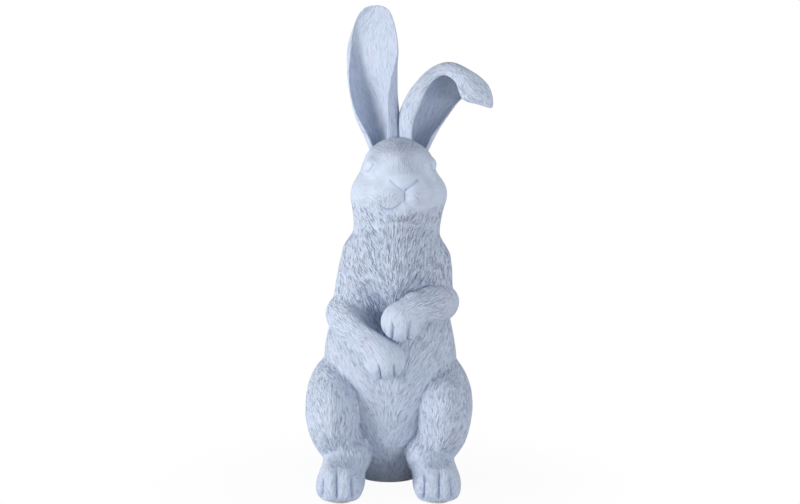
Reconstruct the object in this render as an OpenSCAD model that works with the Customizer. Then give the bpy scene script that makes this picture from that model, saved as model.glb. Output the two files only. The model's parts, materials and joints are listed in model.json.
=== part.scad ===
// Upright rabbit figurine: bonded resin castings on dowels, standing on felt pads.
// The face looks along -Y, +X is the figure's left side, and Z is up from the ground.
// "right" and "left" in names are the figure's own sides.

/* [Body casting] */
// Width that the trunk's shares are taken from
torso_w = 100; // [85:1:120]
// Depth that the trunk's shares are taken from
torso_d = 100; // [85:1:120]
// Height of the flat neck joint above the ground
neck_h = 210; // [185:1:240]
// Wall of the hollow body casting
body_wall = 7; // [5:0.5:10]
// Radius of the soft hollows between the trunk's masses
torso_blend = 16; // [8:1:24]
// Radius of the soft hollow where the head meets the trunk
neck_blend = 10; // [4:1:16]

/* [Head casting] */
// Width that the head's shares are taken from
head_w = 80; // [70:1:95]
// Depth that the head's shares are taken from
head_d = 100; // [85:1:115]
// Height that the head's shares are taken from
head_h = 70; // [60:1:82]
// Angle by which the face is turned to the figure's left
head_turn = 6; // [0:1:20]
// Largest soft hollow between the head's masses
head_blend = 14; // [8:1:20]

/* [Ears] */
// Length of the upright ear from its root to its tip
upright_ear_l = 121.5; // [95:0.5:150]
// Greatest width of the upright ear
upright_ear_w = 42; // [32:1:52]
// Length of the folded ear along its curve
folded_ear_l = 120; // [90:1:140]
// Greatest width of the folded ear
folded_ear_w = 38; // [30:1:48]
// Wall of both ears at the middle of the back
ear_wall = 6; // [5:0.25:8]

/* [Forelegs] */
// Radius at the shoulder
shoulder_r = 17; // [13:0.5:20]
// Radius at the elbow
elbow_r = 15; // [12:0.5:18]
// Radius at the wrist
wrist_r = 12; // [9:0.5:14]
// Half the width of a forepaw
paw_r = 14; // [11:0.5:17]
// Radius of a forepaw's toe
paw_toe_r = 6; // [4.5:0.25:7]

/* [Hind legs] */
// Width of a haunch
haunch_w = 50; // [40:1:58]
// Depth of a haunch, front to back
haunch_d = 96; // [76:1:104]
// Height of a haunch
haunch_h = 96; // [76:1:104]
// Distance of each haunch's middle inside the trunk's side
haunch_inset = 7; // [0:0.5:12]
// Radius of the soft hollow round each haunch
haunch_blend = 4; // [2:0.5:8]
// Width of a hind foot
foot_w = 35; // [28:0.5:40]
// Length of a hind foot, heel to toe
foot_l = 82; // [70:1:94]
// Height of a hind foot at the instep
foot_h = 26; // [19:0.5:29]
// Distance of each foot's middle inside its haunch's middle
foot_inset = 6; // [2:0.5:10]
// How far a heel lies behind the figure's middle
heel_y = 8; // [0:1:16]
// Radius of a hind toe
toe_r = 6; // [4.5:0.25:7.5]

/* [Tail] */
// Radius of the tail tuft
tail_r = 19; // [14:0.5:23]

/* [Joints and base] */
// Gap that the adhesive fills between two castings
glue_gap = 0.3; // [0.2:0.05:0.4]
// Gap round each dowel in its bore
dowel_gap = 0.08; // [0.04:0.02:0.12]
// Radius of the dowel in the neck
neck_dowel_r = 6; // [4:0.5:8]
// Length of the dowel in the neck
neck_dowel_l = 40; // [30:1:48]
// Radius of the steel rod in each ear
ear_rod_r = 1.5; // [1:0.25:2]
// Length of the steel rod in each ear
ear_rod_l = 38; // [28:1:46]
// Radius of the pin in each foreleg
foreleg_pin_r = 2.5; // [1.5:0.25:3.5]
// Length of the pin in each foreleg
foreleg_pin_l = 26; // [20:1:30]
// Radius of the pin in each haunch
haunch_pin_r = 4; // [3:0.25:5]
// Length of the pin in each haunch
haunch_pin_l = 28; // [22:1:34]
// Radius of the pin in each foot
foot_pin_r = 3; // [2:0.25:4]
// Length of the pin in each foot
foot_pin_l = 22; // [16:1:26]
// Radius of the pin in the tail
tail_pin_r = 2.5; // [1.5:0.25:3.5]
// Length of the pin in the tail
tail_pin_l = 24; // [18:1:30]
// Radius of the plug in the casting's pouring hole
plug_r = 18; // [14:0.5:22]
// Thickness of the plug
plug_t = 5; // [3:0.5:7]
// Thickness of the felt pads
felt_t = 1.25; // [0.75:0.25:2]
// Radius of the felt pad under the seat
seat_pad_r = 24; // [20:0.5:26]
// Radius of the felt pads under the feet
foot_pad_r = 9; // [6:0.5:11]
// Distance between the end circles of a foot's felt pad
foot_pad_l = 26; // [16:1:34]

/* [Hidden] */
resin = [0.71, 0.77, 0.89];
steel = [0.66, 0.67, 0.69];
birch = [0.80, 0.68, 0.50];
cork = [0.35, 0.36, 0.38];
felt = [0.86, 0.86, 0.84];
right = -1;
left = 1;
$fn = 48;

// Steps of the search along each ray, its longest stride over the plain one, and the step that a heading is
// read from
ray_steps = 8;
edge_steps = 8;
longest_stride_share = 2.2;
spine_step_share = 0.01;
// Overrun of every cut past the face that it opens
overrun = 1;

// Masses of the trunk: middle as shares of torso_w, torso_d and neck_h, half sizes likewise, blend share
trunk_shares = [
    [[0.00, 0.20, 0.14], [0.38, 0.38, 0.19], 1],
    [[0.00, 0.28, 0.25], [0.44, 0.34, 0.25], 1],
    [[0.00, 0.04, 0.27], [0.38, 0.40, 0.20], 1],
    [[0.01, 0.02, 0.47], [0.53, 0.47, 0.26], 1],
    [[0.02, 0.06, 0.66], [0.44, 0.44, 0.24], 1],
    [[0.05, -0.04, 0.83], [0.37, 0.40, 0.15], 1],
    [[0.065, -0.04, 0.98], [0.325, 0.35, 0.15], 1]];

// Middle of the head, as shares of torso_w and torso_d, and of head_h above the neck joint
head_place_shares = [0.075, -0.06, 0.39];
// Masses of the head's left half: middle as shares of head_w, head_d and head_h, half sizes likewise, and the
// blend share
head_shares = [
    [[0.287, -0.20, 0.225], [0.050, 0.08, 0.085], 0.12],
    [[0.118, -0.35, -0.10], [0.15, 0.12, 0.115], 0.3],
    [[0.000, -0.42, 0.05], [0.14, 0.06, 0.07], 0.25],
    [[0.000, -0.34, -0.26], [0.18, 0.13, 0.13], 0.6],
    [[0.225, -0.13, 0.31], [0.10, 0.12, 0.08], 0.8],
    [[0.212, -0.04, -0.11], [0.265, 0.26, 0.28], 0.7],
    [[0.000, -0.22, 0.01], [0.22, 0.24, 0.26], 0.9],
    [[0.000, 0.06, -0.26], [0.35, 0.32, 0.33], 1],
    [[0.000, 0.06, 0.14], [0.355, 0.34, 0.39], 1]];

// Radius of the upper arm just above the elbow, over elbow_r
upper_arm_share = 0.8;
// Upper arms, held in the body casting: shoulder and elbow as shares of torso_w, torso_d and neck_h
right_arm_shares = [[-0.19, -0.03, 0.85], [-0.315, -0.06, 0.70]];
left_arm_shares = [[0.32, -0.03, 0.83], [0.39, -0.06, 0.74]];
// Forelegs from elbow to paw tip, in the same shares
right_foreleg_shares = [[-0.345, -0.12, 0.65], [-0.27, -0.32, 0.625], [-0.15, -0.44, 0.575],
                        [-0.03, -0.51, 0.52], [-0.015, -0.52, 0.455]];
left_foreleg_shares = [[0.405, -0.12, 0.695], [0.33, -0.36, 0.70], [0.215, -0.475, 0.695],
                       [0.105, -0.53, 0.66], [0.095, -0.535, 0.60]];
// The line that a foreleg casting grows from: places along the foreleg, and how far it is lifted off the body
// there, over elbow_r, with the lift's forward slope; then where the pin's middle lies along the foreleg
foreleg_lift_shares = [[0.02, 0.7], [0.24, 0.45], [0.46, 0.3], [0.68, 0.2], [0.90, 0.1]];
foreleg_lift_slope = -1.3;
foreleg_pin_share = 0.2;
// A paw's depth over its width, and the toes' pitch, reach and setback as shares of paw_r
paw_flat_share = 0.82;
paw_pitch_share = 0.74;
paw_reach_share = 0.85;
paw_setback_share = 0.25;
arm_blend_share = 0.25;

// Masses of a haunch: middle and half sizes as shares of haunch_w, haunch_d and haunch_h, from haunch_x and
// the ground
haunch_shares = [
    [[0.00, 0.00, 0.64], [0.48, 0.50, 0.44], 1],
    [[-0.06, -0.26, 0.58], [0.39, 0.28, 0.35], 1],
    [[-0.19, -0.22, 0.30], [0.31, 0.30, 0.18], 1]];
haunch_mass_blend_share = 0.25;
// Line that a haunch casting grows from, which lies outside the body casting
haunch_line_shares = [[0.17, -0.18, 0.36], [0.17, -0.02, 0.70]];
// Masses of a hind foot: middle and half sizes as shares of foot_w, foot_l and foot_h, from the toe tip
foot_shares = [
    [[0.00, 0.52, 0.34], [0.42, 0.48, 0.44], 1],
    [[0.00, 0.30, 0.42], [0.46, 0.24, 0.46], 1]];
foot_line_shares = [[0, 0.70, 0.22], [0, 0.16, 0.36]];
foot_blend_share = 0.25;
// Hind toes from the inner one: middle as a share of foot_w, radius over toe_r, setback over foot_l
toe_shares = [[-0.39, 0.90, 0.02], [-0.115, 1.02, 0], [0.20, 0.98, 0.01], [0.43, 0.75, 0.08]];
// Half length and half height of a toe over foot_l and foot_h, and its middle's height
toe_size_shares = [0.22, 0.47];
toe_middle_share = 0.38;
// Middle of the tail, as shares of torso_w, torso_d and neck_h
tail_shares = [0, 0.68, 0.13];

// Ears: half width, depth of the hollow over half width, rim's turn past the half circle in degrees, and wall
// over ear_wall, each at equal steps from root to tip
ear_width_shares = [0.56, 0.66, 0.86, 0.93, 1.02, 1.04, 1];
ear_depth_shares = [0.95, 0.92, 0.84, 0.68, 0.48, 0.32, 0.24];
ear_curl = [62, 48, 30, 20, 14, 8, 4];
ear_wall_shares = [1, 0.95, 0.80, 0.70, 0.62, 0.55, 0.50];
ear_rim_share = 0.55;
ear_tip_power = 6;
// Ear spines from the root, as shares of the ear's own length, and the way that the hollow faces at the same
// places
upright_spine_shares = [[0, 0, 0], [-0.002, 0.02, 0.15], [-0.040, 0.04, 0.31], [-0.075, 0.05, 0.46],
                        [-0.078, 0.065, 0.64], [-0.058, 0.075, 0.83], [-0.036, 0.08, 1]];
upright_facing = [[-0.1, -1, 0], [-0.15, -1, 0], [-0.2, -1, 0.05], [-0.25, -1, 0.05], [-0.2, -1, 0.1],
                  [-0.1, -1, 0.1], [0, -1, 0.1]];
folded_spine_shares = [[0, 0, 0], [0.040, 0.01, 0.114], [0.074, 0.02, 0.228], [0.115, 0.03, 0.343],
                       [0.192, 0.03, 0.458], [0.265, -0.01, 0.54], [0.335, -0.09, 0.52],
                       [0.425, -0.15, 0.445], [0.52, -0.18, 0.345]];
folded_facing = [[0.1, -1, 0.1], [0.2, -1, 0], [0.3, -1, 0], [0.3, -1, -0.1], [0.3, -0.95, -0.35],
                 [0.2, -0.5, -0.85], [0.05, 0.3, -0.95], [-0.15, 0.7, -0.7], [-0.2, 0.8, -0.55]];
// Ear roots, as shares of head_w, head_d and head_h from the middle of the head
upright_root_shares = [-0.125, 0.12, 0.29];
folded_root_shares = [0.130, 0.12, 0.296];
// Greatest share of an ear that the head can hide, and steps of the search for where it comes out
ear_hidden_share = 0.3;
ear_steps = 9;
// Where the middle of an ear's rod lies along the ear
ear_rod_share = 0.13;

// Dowel places: neck as shares of torso_w and torso_d, haunch from haunch_x as shares of haunch_w, haunch_d
// and haunch_h, foot as shares of foot_l and foot_h
neck_dowel_shares = [0.06, 0.02];
haunch_pin_shares = [0.02, 0.08, 0.57];
foot_pin_shares = [0.40, 0.5];

torso_size = [torso_w, torso_d, neck_h];
haunch_x = torso_w / 2 - haunch_inset;
foot_x = haunch_x - foot_inset;
toe_y = foot_l - heel_y;
head_size = [head_w, head_d, head_h];
haunch_size = [haunch_w, haunch_d, haunch_h];
foot_size = [foot_w, foot_l, foot_h];
neck_place = [torso_w * neck_dowel_shares[0], torso_d * neck_dowel_shares[1], neck_h];
seat_place = [0, torso_d * trunk_shares[0][0][1], 0];
head_place = [torso_w * head_place_shares[0], torso_d * head_place_shares[1],
              neck_h + head_h * head_place_shares[2]];
// Height below and above the neck joint within which head and trunk shape each other
seam_zone = head_h * 0.5;

// Vectors
function unit(v) = v / norm(v);
function scaled(v, s) = [v.x * s.x, v.y * s.y, v.z * s.z];
function turned(v, a) = [v.x * cos(a) - v.y * sin(a), v.x * sin(a) + v.y * cos(a), v.z];
function mirrored(v, side) = [v.x * side, v.y, v.z];

// A table of masses in millimetres: middle, one over each half size, blend
function sized(shares, size, k) =
    [for (m = shares) [scaled(m[0], size), [for (i = [0:2]) 1 / (m[1][i] * size[i])], m[2] * k]];

// Distances from a point to the surface of a form, negative inside it
function blend(a, b, k) = let (h = k - abs(a - b)) min(a, b) - (h > 0 ? h * h / (4 * k) : 0);
function egg(p, m) =
    let (u = scaled(p - m[0], m[1]), a = norm(u))
    a == 0 ? -1 / max(m[1]) : a * (a - 1) / norm(scaled(u, m[1]));
function limb(p, a, b, ra, rb) =
    let (l = b - a, t = min(max((p - a) * l / (l * l), 0), 1)) norm(p - a - t * l) - ra - t * (rb - ra);
function masses(p, table, i = 0) =
    i == len(table) - 1 ? egg(p, table[i]) : blend(egg(p, table[i]), masses(p, table, i + 1), table[i][2]);
function chain(p, points, radii, k, i = 0) =
    let (d = limb(p, points[i], points[i + 1], radii[i], radii[i + 1]))
    i == len(points) - 2 ? d : blend(d, chain(p, points, radii, k, i + 1), k);

trunk_masses = sized(trunk_shares, torso_size, torso_blend);
head_masses = sized(head_shares, head_size, head_blend);
haunch_masses = sized(haunch_shares, haunch_size, haunch_w * haunch_mass_blend_share);
foot_masses = sized(foot_shares, foot_size, foot_h * foot_blend_share);
toe_masses = [for (t = toe_shares)
    [[t[0] * foot_w, (toe_size_shares[0] + t[2]) * foot_l, foot_h * toe_middle_share],
     [1 / (t[1] * toe_r), 1 / (toe_size_shares[0] * foot_l), 1 / (toe_size_shares[1] * foot_h)]]];
right_arm = [for (s = right_arm_shares) scaled(s, torso_size)];
left_arm = [for (s = left_arm_shares) scaled(s, torso_size)];
right_foreleg_line = [for (s = right_foreleg_shares) scaled(s, torso_size)];
left_foreleg_line = [for (s = left_foreleg_shares) scaled(s, torso_size)];
tail_place = scaled(tail_shares, torso_size);

function head_form(p) =
    let (q = turned(p - head_place, -head_turn)) masses([abs(q.x), q.y, q.z], head_masses);
function torso_form(p) = masses(p, trunk_masses);
function trunk_form(p) =
    let (arm = p.x < head_place.x ? right_arm : left_arm,
         upper = limb(p, arm[0], arm[1], shoulder_r, elbow_r * upper_arm_share),
         trunk = blend(torso_form(p), upper, torso_blend / 2))
    p.z < neck_h - seam_zone ? trunk : blend(trunk, head_form(p), neck_blend);
function haunch_form(p, side) = masses(mirrored(p, side) - [haunch_x, 0, 0], haunch_masses);

// A foreleg: upper bones as a chain, then a flat paw with three toes
function foreleg_form(p, line) =
    let (paw = line[3], way = unit(line[4] - paw), across = unit(cross(way, [0, 1, 0])),
         arm = chain(p, [for (i = [0:3]) line[i]],
                     [elbow_r, (elbow_r + wrist_r) / 2, wrist_r, wrist_r * paw_flat_share],
                     wrist_r * arm_blend_share),
         pad = egg(p, [paw, [1 / paw_r, 1 / (paw_r * paw_flat_share), 1 / paw_r]]),
         toes = min([for (i = [-1:1])
             let (knuckle = paw + across * i * paw_r * paw_pitch_share)
             limb(p, knuckle, knuckle + way * paw_r * (paw_reach_share - paw_setback_share * i * i),
                  paw_toe_r, paw_toe_r)]))
    blend(arm, blend(pad, toes, paw_toe_r * arm_blend_share), wrist_r * arm_blend_share);

// A hind foot with four toes
function foot_form(p, side) =
    let (q = mirrored(p, side) - [foot_x, -toe_y, 0],
         toes = min([for (m = toe_masses) egg(q, m)]))
    blend(masses(q, foot_masses), toes, toe_r / 2);

// A smooth line through points, at t from 0 to 1
function along(points, t) =
    let (n = len(points) - 1, s = min(max(t, 0), 1) * n, i = min(floor(s), n - 1), f = s - i,
         a = points[max(i - 1, 0)], b = points[i], c = points[i + 1], d = points[min(i + 2, n)])
    b + f * ((c - a) + f * ((2 * a - 5 * b + 4 * c - d) + f * (3 * (b - c) + d - a))) / 2;
function heading(points, t) = unit(along(points, t + spine_step_share) - along(points, t - spine_step_share));
function smooth_value(values, t) = along([for (v = values) [v]], t)[0];

// The place where a ray from o along d leaves a form, found by strides that follow how fast the form is left
function reach(o, d, form) = stride(o, d, form, 0, form(o), 1, ray_steps);
function stride(o, d, form, r, f, pace, steps) =
    steps == 0 ? o + r * d
    : let (r2 = max(r - f * pace, 0), f2 = form(o + r2 * d), slope = (r2 - r) / (f2 - f))
      stride(o, d, form, r2, f2, abs(f2 - f) < 1e-6 || !(slope > 1) ? 1 : min(slope, longest_stride_share),
             steps - 1);

// A closed skin round a line: rows of rays square to it, and a dome of rays at each end, by three row counts
module skin(line, side, columns, rows, form) {
    levels = concat([for (i = [1:rows[0] - 1]) [0, -90 + 90 * i / rows[0]]],
                    [for (i = [0:rows[1]]) [i / rows[1], 0]],
                    [for (i = [1:rows[2] - 1]) [1, 90 * i / rows[2]]]);
    rings = [for (l = levels)
        let (o = along(line, l[0]), t = heading(line, l[0]), a = unit(cross(t, side)), b = cross(t, a))
        for (i = [0:columns - 1])
            let (u = 360 * i / columns)
            reach(o, cos(l[1]) * (cos(u) * a + sin(u) * b) + sin(l[1]) * t, form)];
    ends = [reach(along(line, 0), -heading(line, 0), form), reach(along(line, 1), heading(line, 1), form)];
    polyhedron(points = concat(rings, ends), faces = tube_faces(len(levels), columns), convexity = 6);
}

// The skin of a casting that lies on a neighbour: rows from the face's pole down to the edge of the seam, and
// on over the seam to the other pole
module cap(line, face, columns, face_rows, seam_rows, outer, seam) {
    way = unit(line[len(line) - 1] - line[0]);
    n = unit(face);
    b = unit(cross(n, way));
    a = cross(n, b);
    ray = function(u, v) cos(v) * n + sin(v) * (cos(u) * a + sin(u) * b);
    start = function(d) along(line, (1 + d * way) / 2);
    whole = function(p) max(outer(p), seam(p));
    edges = [for (i = [0:columns - 1])
        edge_angle(360 * i / columns, ray, start, outer, seam, 20, 175, edge_steps)];
    rings = concat(
        [for (j = [1:face_rows], i = [0:columns - 1])
            let (d = ray(360 * i / columns, edges[i] * j / face_rows)) reach(start(d), d, whole)],
        [for (j = [1:seam_rows - 1], i = [0:columns - 1])
            let (d = ray(360 * i / columns, edges[i] + (180 - edges[i]) * j / seam_rows))
            reach(start(d), d, whole)]);
    ends = [reach(start(n), n, whole), reach(start(-n), -n, whole)];
    faces = tube_faces(face_rows + seam_rows - 1, columns);
    polyhedron(points = concat(rings, ends), faces = faces, convexity = 6);
}
function edge_angle(u, ray, start, outer, seam, low, high, steps) =
    let (mid = (low + high) / 2, d = ray(u, mid))
    steps == 0 ? mid
    : seam(reach(start(d), d, outer)) > 0 ? edge_angle(u, ray, start, outer, seam, low, mid, steps - 1)
    : edge_angle(u, ray, start, outer, seam, mid, high, steps - 1);

// Triangles of a tube of n rings, closed by a pole at each end
function tube_faces(n, columns) = concat(
    [for (j = [0:n - 2], i = [0:columns - 1])
        let (k = (i + 1) % columns, a = j * columns + i, b = j * columns + k,
             c = a + columns, d = b + columns)
        each [[a, c, b], [b, c, d]]],
    [for (i = [0:columns - 1]) [n * columns, i, (i + 1) % columns]],
    [for (i = [0:columns - 1])
        [n * columns + 1, (n - 1) * columns + (i + 1) % columns, (n - 1) * columns + i]]);

// Everything below a height, or above it
module below(z) {
    translate([0, 0, z - neck_h * 2]) linear_extrude(neck_h * 2) square(torso_w * 3, center = true);
}
module above(z) {
    translate([0, 0, z]) linear_extrude(neck_h * 2) square(torso_w * 3, center = true);
}

// A point of an ear's wall at t along it and angle a round it: side is 0 outside and 1 in the hollow
function ear_point(t, a, side, root, spine, facing, ear_l, ear_w) =
    let (way = heading(spine, t), front = unit(along(facing, t)), across = unit(cross(way, front)),
         back = unit(cross(way, across)),
         w = ear_w / 2 * smooth_value(ear_width_shares, t) * sqrt(max(1 - pow(t, ear_tip_power), 0)),
         b = w * smooth_value(ear_depth_shares, t),
         wall = min(ear_wall * smooth_value(ear_wall_shares, t), w))
    root + ear_l * along(spine, t) + across * (w - side * wall * ear_rim_share) * cos(a)
         + back * (b - side * wall) * sin(a);
function ear_angle(t, share) = let (q = smooth_value(ear_curl, t)) -q + (180 + 2 * q) * share;

// Where one line of an ear's wall comes out of the head
function ear_exit(share, side, root, spine, facing, ear_l, ear_w,
                  low = 0, high = ear_hidden_share, steps = ear_steps) =
    let (mid = (low + high) / 2)
    steps == 0 ? high
    : head_form(ear_point(mid, ear_angle(mid, share), side, root, spine, facing, ear_l, ear_w)) > glue_gap
        ? ear_exit(share, side, root, spine, facing, ear_l, ear_w, low, mid, steps - 1)
        : ear_exit(share, side, root, spine, facing, ear_l, ear_w, mid, high, steps - 1);

// An ear: a curled leaf of even wall, whose foot follows the head
module ear(root_shares, spine, facing, ear_l, ear_w, columns, rows) {
    root = head_place + turned(scaled(root_shares, head_size), head_turn);
    walls = concat([for (i = [0:columns]) [i / columns, 0]], [for (i = [0:columns]) [1 - i / columns, 1]]);
    ring = len(walls);
    exits = [for (w = walls) ear_exit(w[0], w[1], root, spine, facing, ear_l, ear_w)];
    points = [for (j = [0:rows - 1], i = [0:ring - 1])
        let (s = 1 - pow(1 - j / rows, 1.4), t = exits[i] + (1 - exits[i]) * s)
        ear_point(t, ear_angle(t, walls[i][0]), walls[i][1], root, spine, facing, ear_l, ear_w)];
    tip = root + ear_l * spine[len(spine) - 1];
    sides = [for (j = [0:rows - 2], i = [0:ring - 1])
        let (k = (i + 1) % ring, a = j * ring + i, b = j * ring + k, c = a + ring, d = b + ring)
        each [[a, c, b], [b, c, d]]];
    foot = [for (i = [0:columns - 1]) each [[i, i + 1, ring - 2 - i], [i, ring - 2 - i, ring - 1 - i]]];
    top = [for (i = [0:ring - 1]) [rows * ring, (rows - 1) * ring + (i + 1) % ring, (rows - 1) * ring + i]];
    polyhedron(points = concat(points, [tip]), faces = concat(sides, foot, top), convexity = 8);
}

// The line of an ear's rod, at the middle of the wall's back: its middle and its way
function ear_rod_middle(t, root_shares, spine, facing, ear_l, ear_w) =
    let (root = head_place + turned(scaled(root_shares, head_size), head_turn))
    (ear_point(t, 90, 0, root, spine, facing, ear_l, ear_w)
     + ear_point(t, 90, 1, root, spine, facing, ear_l, ear_w)) / 2;
function ear_rod_line(root_shares, spine, facing, ear_l, ear_w) =
    [ear_rod_middle(ear_rod_share, root_shares, spine, facing, ear_l, ear_w),
     unit(ear_rod_middle(ear_rod_share * 2, root_shares, spine, facing, ear_l, ear_w)
          - ear_rod_middle(ear_rod_share, root_shares, spine, facing, ear_l, ear_w))];

// Each dowel's middle and way
neck_dowel_line = [neck_place, [0, 0, 1]];
upright_rod_line = ear_rod_line(upright_root_shares, upright_spine_shares, upright_facing,
                                upright_ear_l, upright_ear_w);
folded_rod_line = ear_rod_line(folded_root_shares, folded_spine_shares, folded_facing,
                               folded_ear_l, folded_ear_w);
function foreleg_pin_line(line) = [along(line, foreleg_pin_share), heading(line, foreleg_pin_share)];
function haunch_pin_line(side) =
    [mirrored([haunch_x, 0, 0] + scaled(haunch_pin_shares, haunch_size), side), [side, 0, 0]];
function foot_pin_line(side) =
    [[side * foot_x, foot_l * foot_pin_shares[0] - toe_y, foot_h * foot_pin_shares[1]], [0, 1, 0]];
tail_pin_line = [tail_place - [0, tail_pin_l * 0.25, 0], [0, 1, 0]];

// A dowel centred on its line, or the bore for it, which runs a little longer
module dowel(line, r, l) {
    translate(line[0]) orient(line[1]) cylinder(r = r, h = l, center = true);
}
module bore(line, r, l) {
    dowel(line, r + dowel_gap, l + 2 * dowel_gap);
}

// Turns +Z to the way given
module orient(way) {
    w = unit(way);
    rotate([0, acos(w.z), atan2(w.y, w.x)]) children();
}

module body() {
    color(resin) difference() {
        skin([seat_place + [0, 0, neck_h * 0.2], neck_place + [0, 0, overrun * 2]], [1, 0, 0], 48, [8, 28, 2],
             function(p) trunk_form(p));
        skin([seat_place + [0, 0, neck_h * 0.2], neck_place - [0, 0, neck_h * 0.3]], [1, 0, 0], 24, [6, 8, 6],
             function(p) max(torso_form(p) + body_wall, body_wall - p.z, p.z - neck_h + neck_dowel_l));
        below(felt_t);
        above(neck_h - glue_gap / 2);
        translate(seat_place) cylinder(r = plug_r + dowel_gap, h = body_wall + overrun);
        bore(neck_dowel_line, neck_dowel_r, neck_dowel_l);
        for (line = [right_foreleg_line, left_foreleg_line])
            bore(foreleg_pin_line(line), foreleg_pin_r, foreleg_pin_l);
        for (side = [right, left]) bore(haunch_pin_line(side), haunch_pin_r, haunch_pin_l);
        bore(tail_pin_line, tail_pin_r, tail_pin_l);
    }
}

module head() {
    color(resin) difference() {
        skin([neck_place - [0, 0, overrun * 2], head_place], [1, 0, 0], 56, [2, 14, 18],
             function(p) p.z > neck_h + seam_zone ? head_form(p) : trunk_form(p));
        below(neck_h + glue_gap / 2);
        bore(neck_dowel_line, neck_dowel_r, neck_dowel_l);
        bore(upright_rod_line, ear_rod_r, ear_rod_l);
        bore(folded_rod_line, ear_rod_r, ear_rod_l);
    }
}

module upright_ear() {
    color(resin) difference() {
        ear(upright_root_shares, upright_spine_shares, upright_facing, upright_ear_l, upright_ear_w, 12, 24);
        bore(upright_rod_line, ear_rod_r, ear_rod_l);
    }
}

module folded_ear() {
    color(resin) difference() {
        ear(folded_root_shares, folded_spine_shares, folded_facing, folded_ear_l, folded_ear_w, 12, 30);
        bore(folded_rod_line, ear_rod_r, ear_rod_l);
    }
}

// A foreleg from the elbow down, lying on the body
module foreleg(line, side) {
    lift = unit([side, foreleg_lift_slope, 0]);
    own_line = [for (l = foreleg_lift_shares) along(line, l[0]) + elbow_r * l[1] * lift];
    color(resin) difference() {
        cap(own_line, [0, -1, 0], 44, 15, 5,
            function(p) foreleg_form(p, line),
            function(p) glue_gap - trunk_form(p));
        bore(foreleg_pin_line(line), foreleg_pin_r, foreleg_pin_l);
    }
}

// A haunch, lying on the body
module haunch(side) {
    color(resin) difference() {
        cap([for (s = haunch_line_shares) mirrored([haunch_x, 0, 0] + scaled(s, haunch_size), side)],
            [side, 0, 0], 40, 12, 10,
            function(p) blend(haunch_form(p, side), trunk_form(p), haunch_blend),
            function(p) glue_gap - trunk_form(p));
        below(felt_t);
        bore(haunch_pin_line(side), haunch_pin_r, haunch_pin_l);
        bore(foot_pin_line(side), foot_pin_r, foot_pin_l);
    }
}

// A hind foot in front of its haunch
module hind_foot(side) {
    color(resin) difference() {
        cap([for (s = foot_line_shares) mirrored([foot_x, -toe_y, 0] + scaled(s, foot_size), side)],
            [0, -0.25, -1], 40, 14, 5,
            function(p) foot_form(p, side),
            function(p) glue_gap - min(haunch_form(p, side), trunk_form(p)));
        below(felt_t);
        bore(foot_pin_line(side), foot_pin_r, foot_pin_l);
    }
}

module tail() {
    color(resin) difference() {
        cap([tail_place, tail_place + [0, 0, tail_r * 0.02]], [0, 1, 0], 24, 8, 4,
            function(p) blend(norm(p - tail_place) - tail_r, trunk_form(p), haunch_blend / 2),
            function(p) glue_gap - trunk_form(p));
        below(felt_t);
        bore(tail_pin_line, tail_pin_r, tail_pin_l);
    }
}

// The plug that closes the casting's pouring hole
module base_plug() {
    color(cork) translate(seat_place + [0, 0, felt_t]) cylinder(r = plug_r, h = plug_t);
}

module foreleg_pin(line) {
    color(steel) dowel(foreleg_pin_line(line), foreleg_pin_r, foreleg_pin_l);
}

module haunch_pin(side) {
    color(birch) dowel(haunch_pin_line(side), haunch_pin_r, haunch_pin_l);
}

module foot_pin(side) {
    color(birch) dowel(foot_pin_line(side), foot_pin_r, foot_pin_l);
}

module felt_pad(side) {
    color(felt) translate([side * foot_x, toe_r + foot_pad_r - toe_y]) linear_extrude(felt_t - glue_gap) {
        for (y = [0, foot_pad_l]) translate([0, y]) circle(foot_pad_r);
        translate([-foot_pad_r, 0]) square([2 * foot_pad_r, foot_pad_l]);
    }
}

module seat_pad() {
    color(felt) translate(seat_place) cylinder(r = seat_pad_r, h = felt_t - glue_gap);
}

body();
head();
upright_ear();
folded_ear();
foreleg(right_foreleg_line, right);  // right_foreleg
foreleg(left_foreleg_line, left);  // left_foreleg
haunch(right);  // right_haunch
haunch(left);  // left_haunch
hind_foot(right);  // right_hind_foot
hind_foot(left);  // left_hind_foot
tail();
base_plug();
color(birch) dowel(neck_dowel_line, neck_dowel_r, neck_dowel_l);  // neck_dowel
color(steel) dowel(upright_rod_line, ear_rod_r, ear_rod_l);  // upright_ear_rod
color(steel) dowel(folded_rod_line, ear_rod_r, ear_rod_l);  // folded_ear_rod
foreleg_pin(right_foreleg_line);  // right_foreleg_pin
foreleg_pin(left_foreleg_line);  // left_foreleg_pin
haunch_pin(right);  // right_haunch_pin
haunch_pin(left);  // left_haunch_pin
foot_pin(right);  // right_foot_pin
foot_pin(left);  // left_foot_pin
color(birch) dowel(tail_pin_line, tail_pin_r, tail_pin_l);  // tail_pin
felt_pad(right);  // right_foot_pad
felt_pad(left);  // left_foot_pad
seat_pad();
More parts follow.
